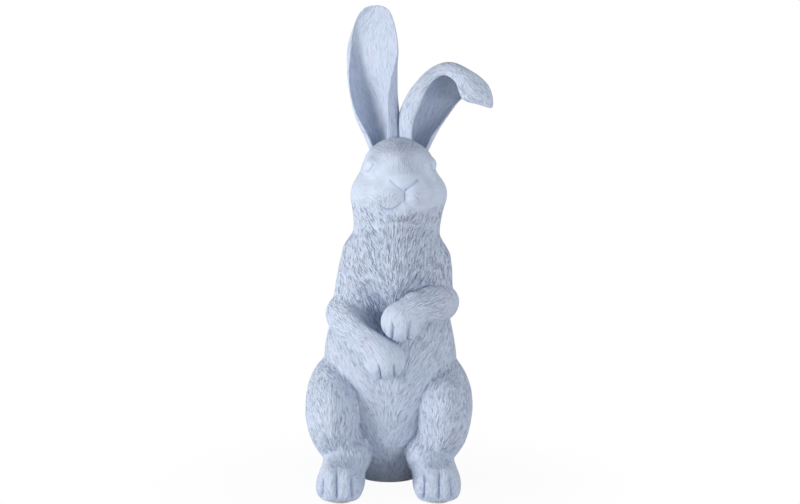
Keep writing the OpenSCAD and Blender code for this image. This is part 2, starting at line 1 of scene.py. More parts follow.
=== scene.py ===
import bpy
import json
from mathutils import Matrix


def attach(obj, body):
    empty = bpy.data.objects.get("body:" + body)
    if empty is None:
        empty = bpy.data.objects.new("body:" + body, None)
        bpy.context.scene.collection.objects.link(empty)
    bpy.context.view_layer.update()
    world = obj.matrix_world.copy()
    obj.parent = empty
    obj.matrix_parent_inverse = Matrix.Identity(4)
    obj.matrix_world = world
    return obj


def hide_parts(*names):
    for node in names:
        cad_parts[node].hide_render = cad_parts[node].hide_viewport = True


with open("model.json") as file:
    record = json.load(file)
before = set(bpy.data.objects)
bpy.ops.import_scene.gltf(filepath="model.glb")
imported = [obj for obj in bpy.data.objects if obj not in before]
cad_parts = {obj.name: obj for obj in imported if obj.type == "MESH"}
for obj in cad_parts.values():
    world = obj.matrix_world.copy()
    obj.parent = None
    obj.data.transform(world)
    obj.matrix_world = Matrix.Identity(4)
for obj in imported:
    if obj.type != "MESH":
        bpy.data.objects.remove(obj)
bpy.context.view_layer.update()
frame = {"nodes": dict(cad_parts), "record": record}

import json
import math

import bmesh
import bpy
import numpy as np
from mathutils import Vector
from mathutils.kdtree import KDTree

bl_info = {
    "name": "Seated Rabbit Figurine",
    "version": (1, 0, 0),
    "blender": (4, 5, 0),
    "location": "View3D > Sidebar > Rabbit",
    "description": "Sculpts a cast resin rabbit with carved fur, and sets a plain stage for it",
    "category": "Object",
}

MM = 0.001
RIGHT = -1
LEFT = 1
X_AXIS = np.array([1.0, 0.0, 0.0])
Y_AXIS = np.array([0.0, 1.0, 0.0])
Z_AXIS = np.array([0.0, 0.0, 1.0])

# The forms below are shares of the sizes in RabbitForm, close to those of the frame's castings.
# Masses: middle, half sizes, share of the blend
TRUNK_SHARES = [
    ((0.00, 0.20, 0.14), (0.38, 0.38, 0.19), 1),
    ((0.00, 0.28, 0.25), (0.44, 0.34, 0.25), 1),
    ((0.00, 0.04, 0.27), (0.38, 0.40, 0.20), 1),
    ((0.01, 0.02, 0.47), (0.53, 0.47, 0.26), 1),
    ((0.02, 0.06, 0.66), (0.44, 0.44, 0.24), 1),
    ((0.05, -0.04, 0.83), (0.37, 0.42, 0.15), 1),
    ((0.065, -0.04, 0.98), (0.325, 0.39, 0.15), 1),
]
HEAD_PLACE_SHARES = (0.075, -0.06, 0.39)
HEAD_SHARES = [
    ((0.270, -0.20, 0.225), (0.050, 0.08, 0.085), 0.45),
    ((0.000, -0.20, 0.16), (0.17, 0.21, 0.23), 0.9),
    ((0.118, -0.35, -0.06), (0.15, 0.12, 0.115), 0.75),
    ((0.000, -0.42, 0.09), (0.14, 0.06, 0.07), 0.35),
    ((0.000, -0.34, -0.26), (0.18, 0.13, 0.13), 0.6),
    ((0.190, -0.12, 0.29), (0.08, 0.11, 0.07), 1),
    ((0.208, -0.04, -0.09), (0.262, 0.26, 0.26), 0.7),
    ((0.000, -0.22, 0.01), (0.22, 0.24, 0.26), 0.9),
    ((0.000, 0.06, -0.26), (0.34, 0.32, 0.33), 1),
    ((0.000, 0.06, 0.14), (0.355, 0.34, 0.39), 1),
]
UPPER_ARM_SHARE = 0.8
ARM_SHARES = {
    RIGHT: [(-0.20, -0.03, 0.87), (-0.315, -0.06, 0.70)],
    LEFT: [(0.325, -0.03, 0.845), (0.39, -0.06, 0.74)],
}
FORELEG_SHARES = {
    RIGHT: [(-0.345, -0.12, 0.65), (-0.27, -0.32, 0.625), (-0.15, -0.44, 0.575), (-0.03, -0.51, 0.52),
            (-0.015, -0.52, 0.455)],
    LEFT: [(0.405, -0.12, 0.695), (0.33, -0.36, 0.70), (0.215, -0.475, 0.695), (0.105, -0.53, 0.66),
           (0.095, -0.535, 0.60)],
}
PAW_FLAT_SHARE = 0.82
# Middle and half sizes of a paw: across it, front to back, and towards the toes
PAW_SHARES = [(0, 0, 0.22), (1.12, 0.88, 1.06)]
ARM_BLEND_SHARE = 0.25
HAUNCH_SHARES = [
    ((0.00, 0.00, 0.64), (0.47, 0.50, 0.43), 1),
    ((0.00, -0.26, 0.60), (0.35, 0.28, 0.34), 1),
    ((-0.25, -0.25, 0.28), (0.34, 0.27, 0.19), 1),
]
HAUNCH_BLEND_SHARE = 0.16
# Instep and toes of a foot, from the middle of the toe tips on the ground
FOOT_SHARES = [
    ((0.00, 0.52, 0.34), (0.42, 0.48, 0.44), 1),
    ((0.00, 0.40, 0.50), (0.44, 0.30, 0.72), 1),
]
FOOT_BLEND_SHARE = 0.25
TOES_SHARES = [(0.01, 0.29, 0.53), (0.505, 0.29, 0.53)]
TOES_ROUND_SHARE = 0.38
TOES_TAPER_SHARE = 0.38
TOES_SETBACK_SHARES = (0.06, 0.02)
# Hollow between the right arm and the chest
ARMPIT_SHARES = [(-0.20, -0.385, 0.725), (-0.055, -0.41, 0.65)]
ARMPIT_R = 10.5 * MM
TAIL_SHARES = (0, 0.675, 0.13)

# Ears, at equal steps from root to tip, from the viewer's side: left edge, right edge and back
UPRIGHT_PATH_SHARES = (
    [(-0.062, 0.02, 0), (-0.118, 0.05, 0.143), (-0.186, 0.065, 0.286), (-0.223, 0.08, 0.429),
     (-0.236, 0.09, 0.571), (-0.230, 0.095, 0.714), (-0.234, 0.095, 0.857), (-0.240, 0.09, 1)],
    [(0.063, -0.01, 0), (0.083, 0, 0.143), (0.083, 0.01, 0.286), (0.073, 0.02, 0.429),
     (0.075, 0.035, 0.571), (0.083, 0.05, 0.714), (0.102, 0.065, 0.857), (0.128, 0.075, 1)],
    [(0, 0.07, 0), (-0.02, 0.105, 0.143), (-0.056, 0.145, 0.286), (-0.085, 0.16, 0.429),
     (-0.125, 0.155, 0.571), (-0.160, 0.14, 0.714), (-0.12, 0.127, 0.857), (-0.055, 0.115, 1)])
FOLDED_PATH_SHARES = (
    [(-0.038, -0.017, 0.035), (-0.052, -0.033, 0.169), (-0.048, -0.042, 0.282), (-0.008, -0.05, 0.383),
     (0.049, -0.067, 0.473), (0.130, -0.092, 0.545), (0.220, -0.125, 0.560), (0.292, -0.158, 0.495),
     (0.336, -0.167, 0.383), (0.444, -0.158, 0.343), (0.524, -0.133, 0.316)],
    [(0.096, -0.017, 0.035), (0.136, -0.017, 0.115), (0.176, -0.008, 0.185), (0.216, 0, 0.242),
     (0.256, 0.008, 0.299), (0.303, 0.017, 0.359), (0.357, 0.017, 0.409), (0.423, 0, 0.436),
     (0.484, -0.033, 0.416), (0.525, -0.075, 0.380), (0.545, -0.117, 0.352)],
    [(0.0, 0.07, 0.035), (0.025, 0.085, 0.122), (0.045, 0.10, 0.222), (0.08, 0.10, 0.316),
     (0.136, 0.083, 0.416), (0.209, 0.042, 0.523), (0.303, -0.017, 0.583), (0.390, -0.10, 0.560),
     (0.470, -0.142, 0.493), (0.523, -0.15, 0.416), (0.540, -0.142, 0.345)])
# How far the right and the left rim curl inwards, in degrees, and what each adds to the wall
UPRIGHT_CURLS = ([80, 70, 59, 51, 45, 38, 25, 5], [50, 35, 20, 10, 5, 2, 0, 0])
UPRIGHT_RIM_SHARES = ([0.2, 0.3, 0.4, 0.4, 0.3, 0.2, 0.1], [0.1, 0.1, 0.0, 0.0, 0.0, 0.0, 0.0])
FOLDED_CURLS = ([30, 25, 15, 10, 8, 5, 5, 0, 0, 0, 0], [60, 63, 63, 58, 48, 30, 12, 0, 0, 0, 0])
FOLDED_RIM_SHARES = ([0.2, 0.2, 0.2, 0.1, 0, 0, 0], [0.6, 0.6, 0.6, 0.6, 0.5, 0.2, 0])
# Walls at equal steps from root to tip, and the wall at the rims
EAR_WALL_SHARES = [1, 0.95, 0.80, 0.70, 0.62, 0.55, 0.50]
EAR_RIM_SHARE = 0.55
UPRIGHT_ROOT_SHARES = (-0.125, 0.12, 0.29)
FOLDED_ROOT_SHARES = (0.130, 0.12, 0.296)
# How blunt each ear's tip is, and how sharply its back folds
UPRIGHT_TIP = 6
UPRIGHT_VEE = 1.25
FOLDED_TIP = 9
FOLDED_VEE = 1.1

# Body and head each run on past the neck joint, sink over a height to a depth, and end
NECK_LAP = 3 * MM
LAP_FADE = 5 * MM
LAP_DEPTH = 6 * MM
LAP_END = 4 * MM
# How deep under its carrier's surface each limb's skirt lies, and how deep its shell goes
FORELEG_SKIRT = 3 * MM
HAUNCH_SKIRT = 1.3 * MM
FOOT_SKIRT = 1.2 * MM
TAIL_SKIRT = 0.9 * MM
FORELEG_SHELL = 5 * MM
SHELL = 4 * MM
# How far past its hollow a skirt may run
FORELEG_HEM = 1.5 * MM
HAUNCH_HEM = 2 * MM
# Radii in millimetres of the hollows beside a foreleg, at its elbow and at its wrist
ELBOW_HOLLOWS = {RIGHT: 9, LEFT: 4}
WRIST_HOLLOW = 1.5
FOOT_HOLLOW = 8 * MM
TAIL_HOLLOW = 3 * MM

# Balls: vertices round each and from pole to pole, and the shares of the rise that its two domes take
BODY_BALL = ((440, 220), (0.18, 0.04))
HEAD_BALL = ((440, 220), (0.20, 0.55))
FORELEG_BALL = ((340, 240), (0.28, 0.28))
HAUNCH_BALL = ((420, 220), (0.35, 0.35))
FOOT_BALL = ((340, 240), (0.2, 0.45))
TAIL_BALL = ((240, 120), (0.45, 0.45))
EAR_BALL = (320, 240)
# Lines that the rays start from
HEAD_LINE = np.array([(0, 20, -2), (0, -20, -4)]) * MM
# Share of a foreleg's length, and how far outwards in elbow radii
FORELEG_LINE_SHARES = [(0.02, 0.55), (0.24, 0.4), (0.46, 0.3), (0.68, 0.2), (0.90, 0.1)]
HAUNCH_LINE_SHARES = ((0.17, -0.18, 0.36), (0.17, -0.02, 0.70))
FOOT_LINE_SHARES = ((0, 0.70, 0.30), (0, 0.16, 0.36))

# Soft hollows of the chest and belly: line across and up, width, depth in millimetres
CHEST_GROOVES = [
    ([(-0.24, 0.98), (-0.20, 0.87), (-0.155, 0.79), (-0.13, 0.74)], 0.06, 1.6),
    ([(0.36, 0.97), (0.345, 0.90), (0.32, 0.84)], 0.06, 1.3),
    ([(0.0, 0.60), (0.0, 0.40), (0.0, 0.22)], 0.07, 0.7),
]
# The face, in millimetres across and up from the head's middle
NOSE_TIP = (-0.8, -2.4)
NOSE_WING = 11.4
NOSE_DEPTHS = {RIGHT: 0.6, LEFT: 0.9}
LIP_SPLIT = [NOSE_TIP, (-0.3, -6.2), (-0.3, -10.2)]
RIGHT_MOUTH = [(-0.4, -9.8), (-5.0, -13.6), (-10.5, -16.4), (-15.8, -16.0), (-20.6, -11.4)]
LEFT_MOUTH = [(-0.4, -9.8), (2.6, -12.4), (6.0, -15.6), (9.6, -18.4)]
MOUTH_SHADE = [(-1, -12), (-6, -16), (-14, -18), (-21, -13)]
# An eye: its place, the way that it faces, and its lines in millimetres backwards and up from its middle
EYE_PLACE = (22.4, -20.5, 17.0)
EYE_WAY = (0.80, -0.58, 0.12)
CLOSED_LID = [(7.2, -4.2), (3.6, -5.7), (-0.6, -5.9), (-4.4, -4.6), (-6.6, -1.8), (-6.9, 1.4)]
UPPER_LID = [(-6.6, 2.2), (-2.8, 5.9), (2.4, 6.3), (7.0, 3.0)]
LOWER_LID = [(6.5, -7.4), (0.4, -8.6), (-5.6, -6.8), (-9.0, -1.6)]

# Strokes that are cut together, to bound the memory
STROKE_BATCH = 4000
# Cells per metre of the paint's noises
DRIFT_SCALE = 130.0
CLOUD_SCALE = 55.0
MOTTLE_SCALE = 420.0
GRAIN_SCALE = 1500.0
# Fine hairs per metre, across the fur and along it
HAIRS_ACROSS = 780
HAIRS_ALONG = 110

# Lamps: place, width, tint
LAMPS = {"key": ((-1.3, -0.56, 0.24), 0.6, (1.0, 0.99, 0.975)),
         "fill": ((0.84, -1.02, 0.1), 0.6, (0.98, 0.98, 1.0))}
LAMP_TARGET = (0.005, 0, 0.19)
SKY_TINT = (0.95, 0.98, 1.0)
# Rays that see a white background
WHITE_RAYS = ("Is Camera Ray", "Is Glossy Ray", "Is Transmission Ray")
FLOOR_HALF = 6
# Distances from the figure's middle between which the floor's shadow gives way to plain white
SHADOW_ENDS = (0.08, 0.24)
CAMERA_PLACE = (0.00882, -1.0706, 0.27361)
# The camera's tilt downwards in radians, and its lens and sensor width in millimetres
CAMERA_DIP = 0.0831
CAMERA_LENS = 61.08
CAMERA_SENSOR = 36


# Sizes and colours

def size(name, description, default):
    """A length that a user can change, in metres."""
    return bpy.props.FloatProperty(name=name, description=description, default=default, min=0, unit="LENGTH",
                                   subtype="DISTANCE", precision=4)


def share(name, description, default, top):
    """A number without a unit that a user can change."""
    return bpy.props.FloatProperty(name=name, description=description, default=default, min=0, max=top)


def colour(name, description, default):
    """A linear colour that a user can change."""
    return bpy.props.FloatVectorProperty(name=name, description=description, default=default, size=3, min=0,
                                         max=1, subtype="COLOR")


def power(name, description, default):
    """A lamp's power that a user can change, in watts."""
    return bpy.props.FloatProperty(name=name, description=description, default=default, min=0, unit="POWER")


class RabbitForm(bpy.types.PropertyGroup):
    """Sizes of the castings"""
    torso_w: size("Trunk width", "Width that the trunk's shares are taken from", 0.100)
    torso_d: size("Trunk depth", "Depth that the trunk's shares are taken from", 0.100)
    neck_h: size("Neck height", "Height of the neck joint above the ground", 0.210)
    torso_blend: size("Trunk blend", "Radius of the hollows between the trunk's masses", 0.016)
    neck_blend: size("Neck blend", "Radius of the hollow where the head meets the trunk", 0.015)
    head_w: size("Head width", "Width that the head's shares are taken from", 0.080)
    head_d: size("Head depth", "Depth that the head's shares are taken from", 0.100)
    head_h: size("Head height", "Height that the head's shares are taken from", 0.070)
    head_turn: bpy.props.FloatProperty(name="Head turn", description="Turn of the face to the figure's left",
                                       default=math.radians(6), unit="ROTATION", subtype="ANGLE")
    head_blend: size("Head blend", "Largest hollow between the head's masses", 0.014)
    upright_ear_l: size("Upright ear", "Length of the upright ear", 0.1212)
    folded_ear_l: size("Folded ear", "Length of the folded ear along its curve", 0.120)
    ear_wall: size("Ear wall", "Wall of both ears at the back", 0.006)
    shoulder_r: size("Shoulder", "Radius at the shoulder", 0.017)
    elbow_r: size("Elbow", "Radius at the elbow", 0.015)
    wrist_r: size("Wrist", "Radius at the wrist", 0.012)
    paw_r: size("Paw", "Half the width of a forepaw", 0.014)
    paw_toe_r: size("Paw toe", "Radius of a forepaw's toe", 0.006)
    haunch_w: size("Haunch width", "Width of a haunch", 0.050)
    haunch_d: size("Haunch depth", "Depth of a haunch", 0.096)
    haunch_h: size("Haunch height", "Height of a haunch", 0.096)
    haunch_x: size("Haunch place", "Distance of each haunch's middle from the figure's middle", 0.043)
    haunch_blend: size("Haunch blend", "Radius of the hollow round each haunch", 0.005)
    foot_w: size("Foot width", "Width of a hind foot", 0.035)
    foot_l: size("Foot length", "Length of a hind foot", 0.082)
    foot_h: size("Foot height", "Height of a hind foot", 0.026)
    foot_x: size("Foot place", "Distance of each foot's middle from the figure's middle", 0.037)
    toe_y: size("Toe reach", "How far a toe tip stands in front of the figure's middle", 0.0736)
    toe_r: size("Toe", "Radius of a hind toe", 0.006)
    tail_r: size("Tail", "Radius of the tail tuft", 0.019)
    felt_t: size("Felt", "Thickness of the felt pads", 0.00125)


class RabbitFur(bpy.types.PropertyGroup):
    """The carved fur"""
    length: size("Stroke length", "Length of a gouged stroke on the body", 0.0088)
    width: size("Stroke width", "Width of a gouged stroke on the body", 0.00110)
    depth: size("Stroke depth", "Depth of a gouged stroke on the body", 0.00075)
    pitch: size("Stroke spacing", "Distance between strokes that lie side by side", 0.00125)
    lump: size("Unevenness", "Height of the soft unevenness left by hand modelling", 0.0004)


class RabbitFinish(bpy.types.PropertyGroup):
    """Colours of the finishes"""
    resin: colour("Resin", "Painted resin in the light", (0.53, 0.60, 0.725))
    lilac: colour("Lilac tint", "Warmer tint in the resin's paint", (0.57, 0.59, 0.725))
    # Ridge is partly dry-brushing and partly a painted highlight; recess is painted shade in the gouges,
    # creases and folds, in the gouges partly a paint wash
    ridge: colour("Ridge", "Dry-brushed ridges of the fur", (0.68, 0.75, 0.86))
    recess: colour("Recess", "Paint in the gouges and folds", (0.19, 0.26, 0.43))
    birch: colour("Birch", "Wooden dowels", (0.60, 0.43, 0.24))
    steel: colour("Steel", "Rods and pins", (0.52, 0.53, 0.55))
    rubber: colour("Rubber", "Plug in the pouring hole", (0.020, 0.020, 0.022))
    felt: colour("Felt", "Pads under feet and seat", (0.72, 0.72, 0.70))


class RabbitStage(bpy.types.PropertyGroup):
    """Lamps and camera"""
    key_power: power("Key lamp", "Power of the lamp at the left", 15.5)
    fill_power: power("Fill lamp", "Power of the low lamp at the right", 7.8)
    sky: share("Sky", "Strength of the even light from all round", 0.53, 10)


# Arrays of vectors

def length(v):
    return np.sqrt(np.einsum("...i,...i", v, v))


def unit(v):
    v = np.asarray(v, float)
    return v / np.maximum(length(v), 1e-12)[..., None]


def smooth(low, high, x):
    """0 below low, 1 above high, and a soft step between them."""
    t = np.clip((x - low) / (high - low), 0, 1)
    return t * t * (3 - 2 * t)


def turned(v, angle):
    c, s = math.cos(angle), math.sin(angle)
    return np.stack([v[..., 0] * c - v[..., 1] * s, v[..., 0] * s + v[..., 1] * c, v[..., 2]], -1)


def along(points, t):
    """A smooth line through points, at t from 0 to 1."""
    points = np.asarray(points, float)
    n = len(points) - 1
    s = np.clip(t, 0, 1) * n
    i = np.minimum(np.floor(s).astype(int), n - 1)
    f = (s - i)[..., None]
    a, b, c, d = points[np.maximum(i - 1, 0)], points[i], points[i + 1], points[np.minimum(i + 2, n)]
    return b + f * ((c - a) + f * ((2 * a - 5 * b + 4 * c - d) + f * (3 * (b - c) + d - a))) / 2


def heading(points, t):
    return unit(along(points, t + 0.01) - along(points, t - 0.01))


def value_along(values, t):
    return along(np.asarray(values, float)[:, None], t)[..., 0]


def nearest_share(points, p, steps=24):
    """How far along a line each of the places p lies."""
    t = np.linspace(0, 1, steps)
    line = along(points, t)
    gap = (line ** 2).sum(1) - 2 * p @ line.T
    i = np.clip(np.argmin(gap, axis=1), 1, steps - 2)
    rows = np.arange(len(p))
    before, at, after = gap[rows, i - 1], gap[rows, i], gap[rows, i + 1]
    shift = (before - after) / np.maximum(2 * (before - 2 * at + after), 1e-12)
    return np.clip(t[i] + np.clip(shift, -1, 1) * t[1], 0, 1)


# Distances from points to the surface of a form, negative inside it

def blend(a, b, k):
    h = np.maximum(k - np.abs(a - b), 0)
    return np.minimum(a, b) - h * h / (4 * k)


def cut(a, b, k):
    """The part inside both forms, with an edge softened over k."""
    return -blend(-a, -b, k)


def egg(p, mass):
    u = (p - mass[0]) / mass[1]
    a = length(u)
    return a * (a - 1) / np.maximum(length(u / mass[1]), 1e-9)


def limb(p, a, b, ra, rb):
    line = b - a
    t = np.clip(((p - a) @ line) / (line @ line), 0, 1)
    return length(p - a - t[:, None] * line) - ra - t * (rb - ra)


def block(p, mass, r):
    """A box with round edges."""
    q = np.abs(p - mass[0]) - mass[1] + r
    return length(np.maximum(q, 0)) + np.minimum(q.max(axis=1), 0) - r


def masses(p, table):
    d = egg(p, table[-1])
    for mass in table[-2::-1]:
        d = blend(egg(p, mass), d, mass[2])
    return d


def sized(shares, scale, k):
    return [(np.array(m[0]) * scale, np.array(m[1]) * scale, m[2] * k) for m in shares]


class Rabbit:
    """The figure's forms, as distance fields in metres."""

    def __init__(self, form):
        self.form = form
        self.torso_size = np.array([form.torso_w, form.torso_d, form.neck_h])
        self.head_size = np.array([form.head_w, form.head_d, form.head_h])
        self.haunch_size = np.array([form.haunch_w, form.haunch_d, form.haunch_h])
        self.foot_size = np.array([form.foot_w, form.foot_l, form.foot_h])
        self.trunk_masses = sized(TRUNK_SHARES, self.torso_size, form.torso_blend)
        self.head_masses = sized(HEAD_SHARES, self.head_size, form.head_blend)
        self.haunch_masses = sized(HAUNCH_SHARES, self.haunch_size, form.haunch_w * HAUNCH_BLEND_SHARE)
        self.foot_masses = sized(FOOT_SHARES, self.foot_size, form.foot_h * FOOT_BLEND_SHARE)
        self.toes = [np.array(m) * self.foot_size for m in TOES_SHARES]
        self.armpit = np.array(ARMPIT_SHARES) * self.torso_size
        self.arm = {side: np.array(line) * self.torso_size for side, line in ARM_SHARES.items()}
        self.foreleg_line = {side: np.array(line) * self.torso_size for side, line in FORELEG_SHARES.items()}
        x, y, z = HEAD_PLACE_SHARES
        self.head_place = np.array([form.torso_w * x, form.torso_d * y, form.neck_h + form.head_h * z])
        self.seat = np.array([0, form.torso_d * TRUNK_SHARES[0][0][1], 0])
        self.tail_place = np.array(TAIL_SHARES) * self.torso_size

    def head_view(self, p):
        """Places as the head sees them: its own middle, with the face along -Y."""
        return turned(p - self.head_place, -self.form.head_turn)

    def head(self, p):
        q = self.head_view(p)
        q[:, 0] = np.abs(q[:, 0])
        return masses(q, self.head_masses)

    def trunk(self, p):
        form = self.form
        d = masses(p, self.trunk_masses)
        upper_r = form.elbow_r * UPPER_ARM_SHARE
        arms = [limb(p, *self.arm[side], form.shoulder_r, upper_r) for side in (RIGHT, LEFT)]
        d = blend(d, np.where(p[:, 0] < self.head_place[0], arms[0], arms[1]), form.torso_blend / 2)
        high = p[:, 2] > form.neck_h - form.head_h / 2
        if high.any():
            d[high] = blend(d[high], self.head(p[high]), form.neck_blend)
        return self.hollowed(p, d)

    def hollowed(self, p, d):
        """Takes the hollow between the right arm and the chest out of a form."""
        return cut(d, -limb(p, *self.armpit, ARMPIT_R * 0.88, ARMPIT_R), ARMPIT_R * 0.8)

    # Painted shade in the hollow between the right arm and the chest, where shade falls
    def painted_armpit_shade(self, p):
        return 0.62 * smooth(ARMPIT_R + 5 * MM, ARMPIT_R, limb(p, *self.armpit, -ARMPIT_R * 0.3, 0))

    def haunch(self, p, side):
        return masses(p * (side, 1, 1) - (self.form.haunch_x, 0, 0), self.haunch_masses)

    def paw_frame(self, side):
        """A paw's middle, the way that its toes point, and the way across it."""
        line = self.foreleg_line[side]
        way = unit(line[4] - line[3])
        return line[3], way, unit(np.cross(way, Y_AXIS))

    def foreleg(self, p, side):
        form = self.form
        line = self.foreleg_line[side]
        paw, way, across = self.paw_frame(side)
        soft = form.wrist_r * ARM_BLEND_SHARE
        radii = [form.elbow_r, (form.elbow_r + form.wrist_r) / 2, form.wrist_r, form.wrist_r * PAW_FLAT_SHARE]
        arm = limb(p, line[2], line[3], radii[2], radii[3])
        for i in (1, 0):
            arm = blend(limb(p, line[i], line[i + 1], radii[i], radii[i + 1]), arm, soft)
        local = np.stack([(p - paw) @ across, (p - paw) @ np.cross(across, way), (p - paw) @ way], -1)
        pad = egg(local, (np.array(PAW_SHARES[0]) * form.paw_r, np.array(PAW_SHARES[1]) * form.paw_r))
        return blend(arm, pad, form.paw_r * 0.5)

    def foot(self, p, side):
        form = self.form
        q = p * (side, 1, 1) - (form.foot_x, -form.toe_y, 0)
        body = masses(q, self.foot_masses)
        outer, inner = TOES_SETBACK_SHARES
        half, high = form.foot_w / 2, form.foot_h
        setback = outer * smooth(half * 0.3, half, q[:, 0]) + inner * smooth(-half * 0.4, -half, q[:, 0])
        q[:, 1] -= form.foot_l * setback
        q[:, 0] *= 1 + TOES_TAPER_SHARE * smooth(high * 0.3, high, q[:, 2])
        return blend(body, block(q, self.toes, high * TOES_ROUND_SHARE), high * FOOT_BLEND_SHARE)

    def tail(self, p):
        return length(p - self.tail_place) - self.form.tail_r

    def limbs(self, p):
        return [form(p, side) for side in (RIGHT, LEFT) for form in (self.haunch, self.foreleg, self.foot)]


def reach(start, way, form, steps=14):
    """The places where rays from start along way leave a form."""
    r = np.zeros(len(start))
    f = form(start)
    pace = np.ones(len(start))
    for _ in range(steps):
        r2 = np.maximum(r - f * pace, 0)
        f2 = form(start + r2[:, None] * way)
        fall = f2 - f
        slope = (r2 - r) / np.where(np.abs(fall) < 1e-10, 1, fall)
        pace = np.where((np.abs(fall) < 1e-10) | ~(slope > 1), 1, np.minimum(slope, 2.2))
        r, f = r2, f2
    return start + r[:, None] * way


# Noise

def hashed(i, j, k, seed):
    """A number from 0 to 1 for each cell of a lattice."""
    h = (i * 73856093) ^ (j * 19349663) ^ (k * 83492791) ^ (seed * 2654435761)
    h = (h ^ (h >> 13)) * 1274126177
    return ((h ^ (h >> 16)) & 0xFFFF) / 65535.0


def noise(p, cell, seed):
    """Soft noise from -1 to 1, with lumps about as large as cell."""
    q = p / cell
    base = np.floor(q).astype(np.int64)
    f = q - base
    f = f * f * (3 - 2 * f)
    total = 0
    for dx in (0, 1):
        for dy in (0, 1):
            for dz in (0, 1):
                w = (np.where(dx, f[:, 0], 1 - f[:, 0]) * np.where(dy, f[:, 1], 1 - f[:, 1])
                     * np.where(dz, f[:, 2], 1 - f[:, 2]))
                total = total + w * hashed(base[:, 0] + dx, base[:, 1] + dy, base[:, 2] + dz, seed)
    return total * 2 - 1


# Pieces

def put_vectors(mesh, name, values):
    attribute = mesh.attributes.new(name, "FLOAT_VECTOR", "POINT")
    attribute.data.foreach_set("vector", np.asarray(values, np.float32).ravel())


def put_values(mesh, name, values):
    attribute = mesh.attributes.get(name) or mesh.attributes.new(name, "FLOAT", "POINT")
    attribute.data.foreach_set("value", np.asarray(values, np.float32))


def read(items, field, width):
    """An array of one field of a mesh's items, with a row for each item."""
    out = np.empty(len(items) * width, np.float32)
    items.foreach_get(field, out)
    return out.reshape(-1, width).astype(float)


def get_values(mesh, name):
    return read(mesh.attributes[name].data, "value", 1)[:, 0]


def get_vectors(mesh, name):
    return read(mesh.attributes[name].data, "vector", 3)


def places(mesh):
    return read(mesh.vertices, "co", 3)


def set_places(mesh, p):
    mesh.vertices.foreach_set("co", np.asarray(p, np.float32).ravel())
    mesh.update()


def normals(mesh):
    return read(mesh.vertex_normals, "vector", 3)


def new_ball(node, around, rows):
    """A closed ball of faces, with each vertex's turn round it from 0 to 1 and its rise from pole to pole."""
    bm = bmesh.new()
    bmesh.ops.create_grid(bm, x_segments=around, y_segments=rows, size=1)
    for vert in bm.verts:
        u, v = vert.co.x * math.pi, vert.co.y * math.pi / 2
        vert.co = (math.cos(u) * math.cos(v), math.sin(u) * math.cos(v), math.sin(v))
    bmesh.ops.remove_doubles(bm, verts=bm.verts, dist=1e-5)
    mesh = bpy.data.meshes.new("carved_" + node)
    bm.to_mesh(mesh)
    bm.free()
    co = places(mesh)
    turn = np.round(np.arctan2(co[:, 1], co[:, 0]) / (2 * math.pi) * around) / around % 1
    rise = np.round(np.arccos(np.clip(-co[:, 2], -1, 1)) / math.pi * rows) / rows
    return mesh, turn, rise


def finish_piece(mesh, flow, fur, scale, node, buried, crease=0):
    """Puts a sculpted mesh in the scene in place of its casting's plain solid."""
    bm = bmesh.new()
    bm.from_mesh(mesh)
    bmesh.ops.recalc_face_normals(bm, faces=bm.faces)
    bm.to_mesh(mesh)
    bm.free()
    mesh.shade_smooth()
    count = len(mesh.vertices)
    put_vectors(mesh, "flow", flow)
    put_values(mesh, "fur", np.broadcast_to(fur, count))
    put_values(mesh, "fur_scale", np.broadcast_to(scale, count))
    put_values(mesh, "buried", buried)
    # Painted shade: how much darker each place is painted where shade falls, in creases, grooves, folds,
    # hollows and the ears' shaded walls
    put_values(mesh, "crease", np.broadcast_to(np.clip(crease, 0, 1), count))
    piece = bpy.data.objects.new(mesh.name, mesh)
    bpy.context.scene.collection.objects.link(piece)
    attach(piece, "root")
    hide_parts(node)


def pair(name):
    """A piece's name and side, for the right one and the left one."""
    return ("right_" + name, RIGHT), ("left_" + name, LEFT)


def skin(name, ball, line, side, form, gather=0.0):
    """A ball drawn over a form: rays square to a line, and a dome of rays at each end."""
    grid, (foot, top) = ball
    mesh, turn, rise = new_ball(name, *grid)
    t = np.clip((rise - foot) / (1 - foot - top), 0, 1)
    lift = np.where(rise < foot, rise / foot - 1, np.where(rise > 1 - top, (rise - 1 + top) / top, 0))
    lift = lift * math.pi / 2
    start = along(line, t)
    way = heading(line, t)
    a = unit(np.cross(way, side))
    b = np.cross(way, a)
    u = turn * 2 * math.pi
    u = u + gather * np.sin(u)
    ray = (np.cos(lift) * np.cos(u))[:, None] * a + (np.cos(lift) * np.sin(u))[:, None] * b \
        + np.sin(lift)[:, None] * way
    p = reach(start, ray, form)
    set_places(mesh, p)
    return mesh, p


def unevenness(p):
    """Soft lumps left by hand modelling, the same on all pieces so that they meet at the seams."""
    lump = bpy.context.scene.rabbit_fur.lump
    return lump * (noise(p, 17 * MM, 3) + 0.45 * noise(p, 7 * MM, 5))


def swell(mesh, p, amount):
    """Moves each place out along the surface's own direction."""
    p = p + normals(mesh) * amount[:, None]
    set_places(mesh, p)
    return p


def line_gap(a, b, points):
    """Distance in a flat view from (a, b) to a line through points, and how far along it."""
    best = np.full(len(a), 1e9)
    share_along = np.zeros(len(a))
    points = np.asarray(points, float)
    n = len(points) - 1
    for i in range(n):
        start, step = points[i], points[i + 1] - points[i]
        t = np.clip(((a - start[0]) * step[0] + (b - start[1]) * step[1]) / (step @ step), 0, 1)
        gap = np.hypot(a - start[0] - t * step[0], b - start[1] - t * step[1])
        closer = gap < best
        best = np.where(closer, gap, best)
        share_along = np.where(closer, (i + t) / n, share_along)
    return best, share_along


def curve(points, steps=24):
    return along(np.asarray(points, float), np.linspace(0, 1, steps))


def groove(a, b, points, width, depth, ends=0.25):
    """A carved line that thins out at both ends, as a negative height."""
    gap, t = line_gap(a, b, curve(points))
    taper = smooth(0, ends, t) * smooth(0, ends, 1 - t) if ends else 1
    return -depth * taper * np.exp(-(gap / width) ** 2)


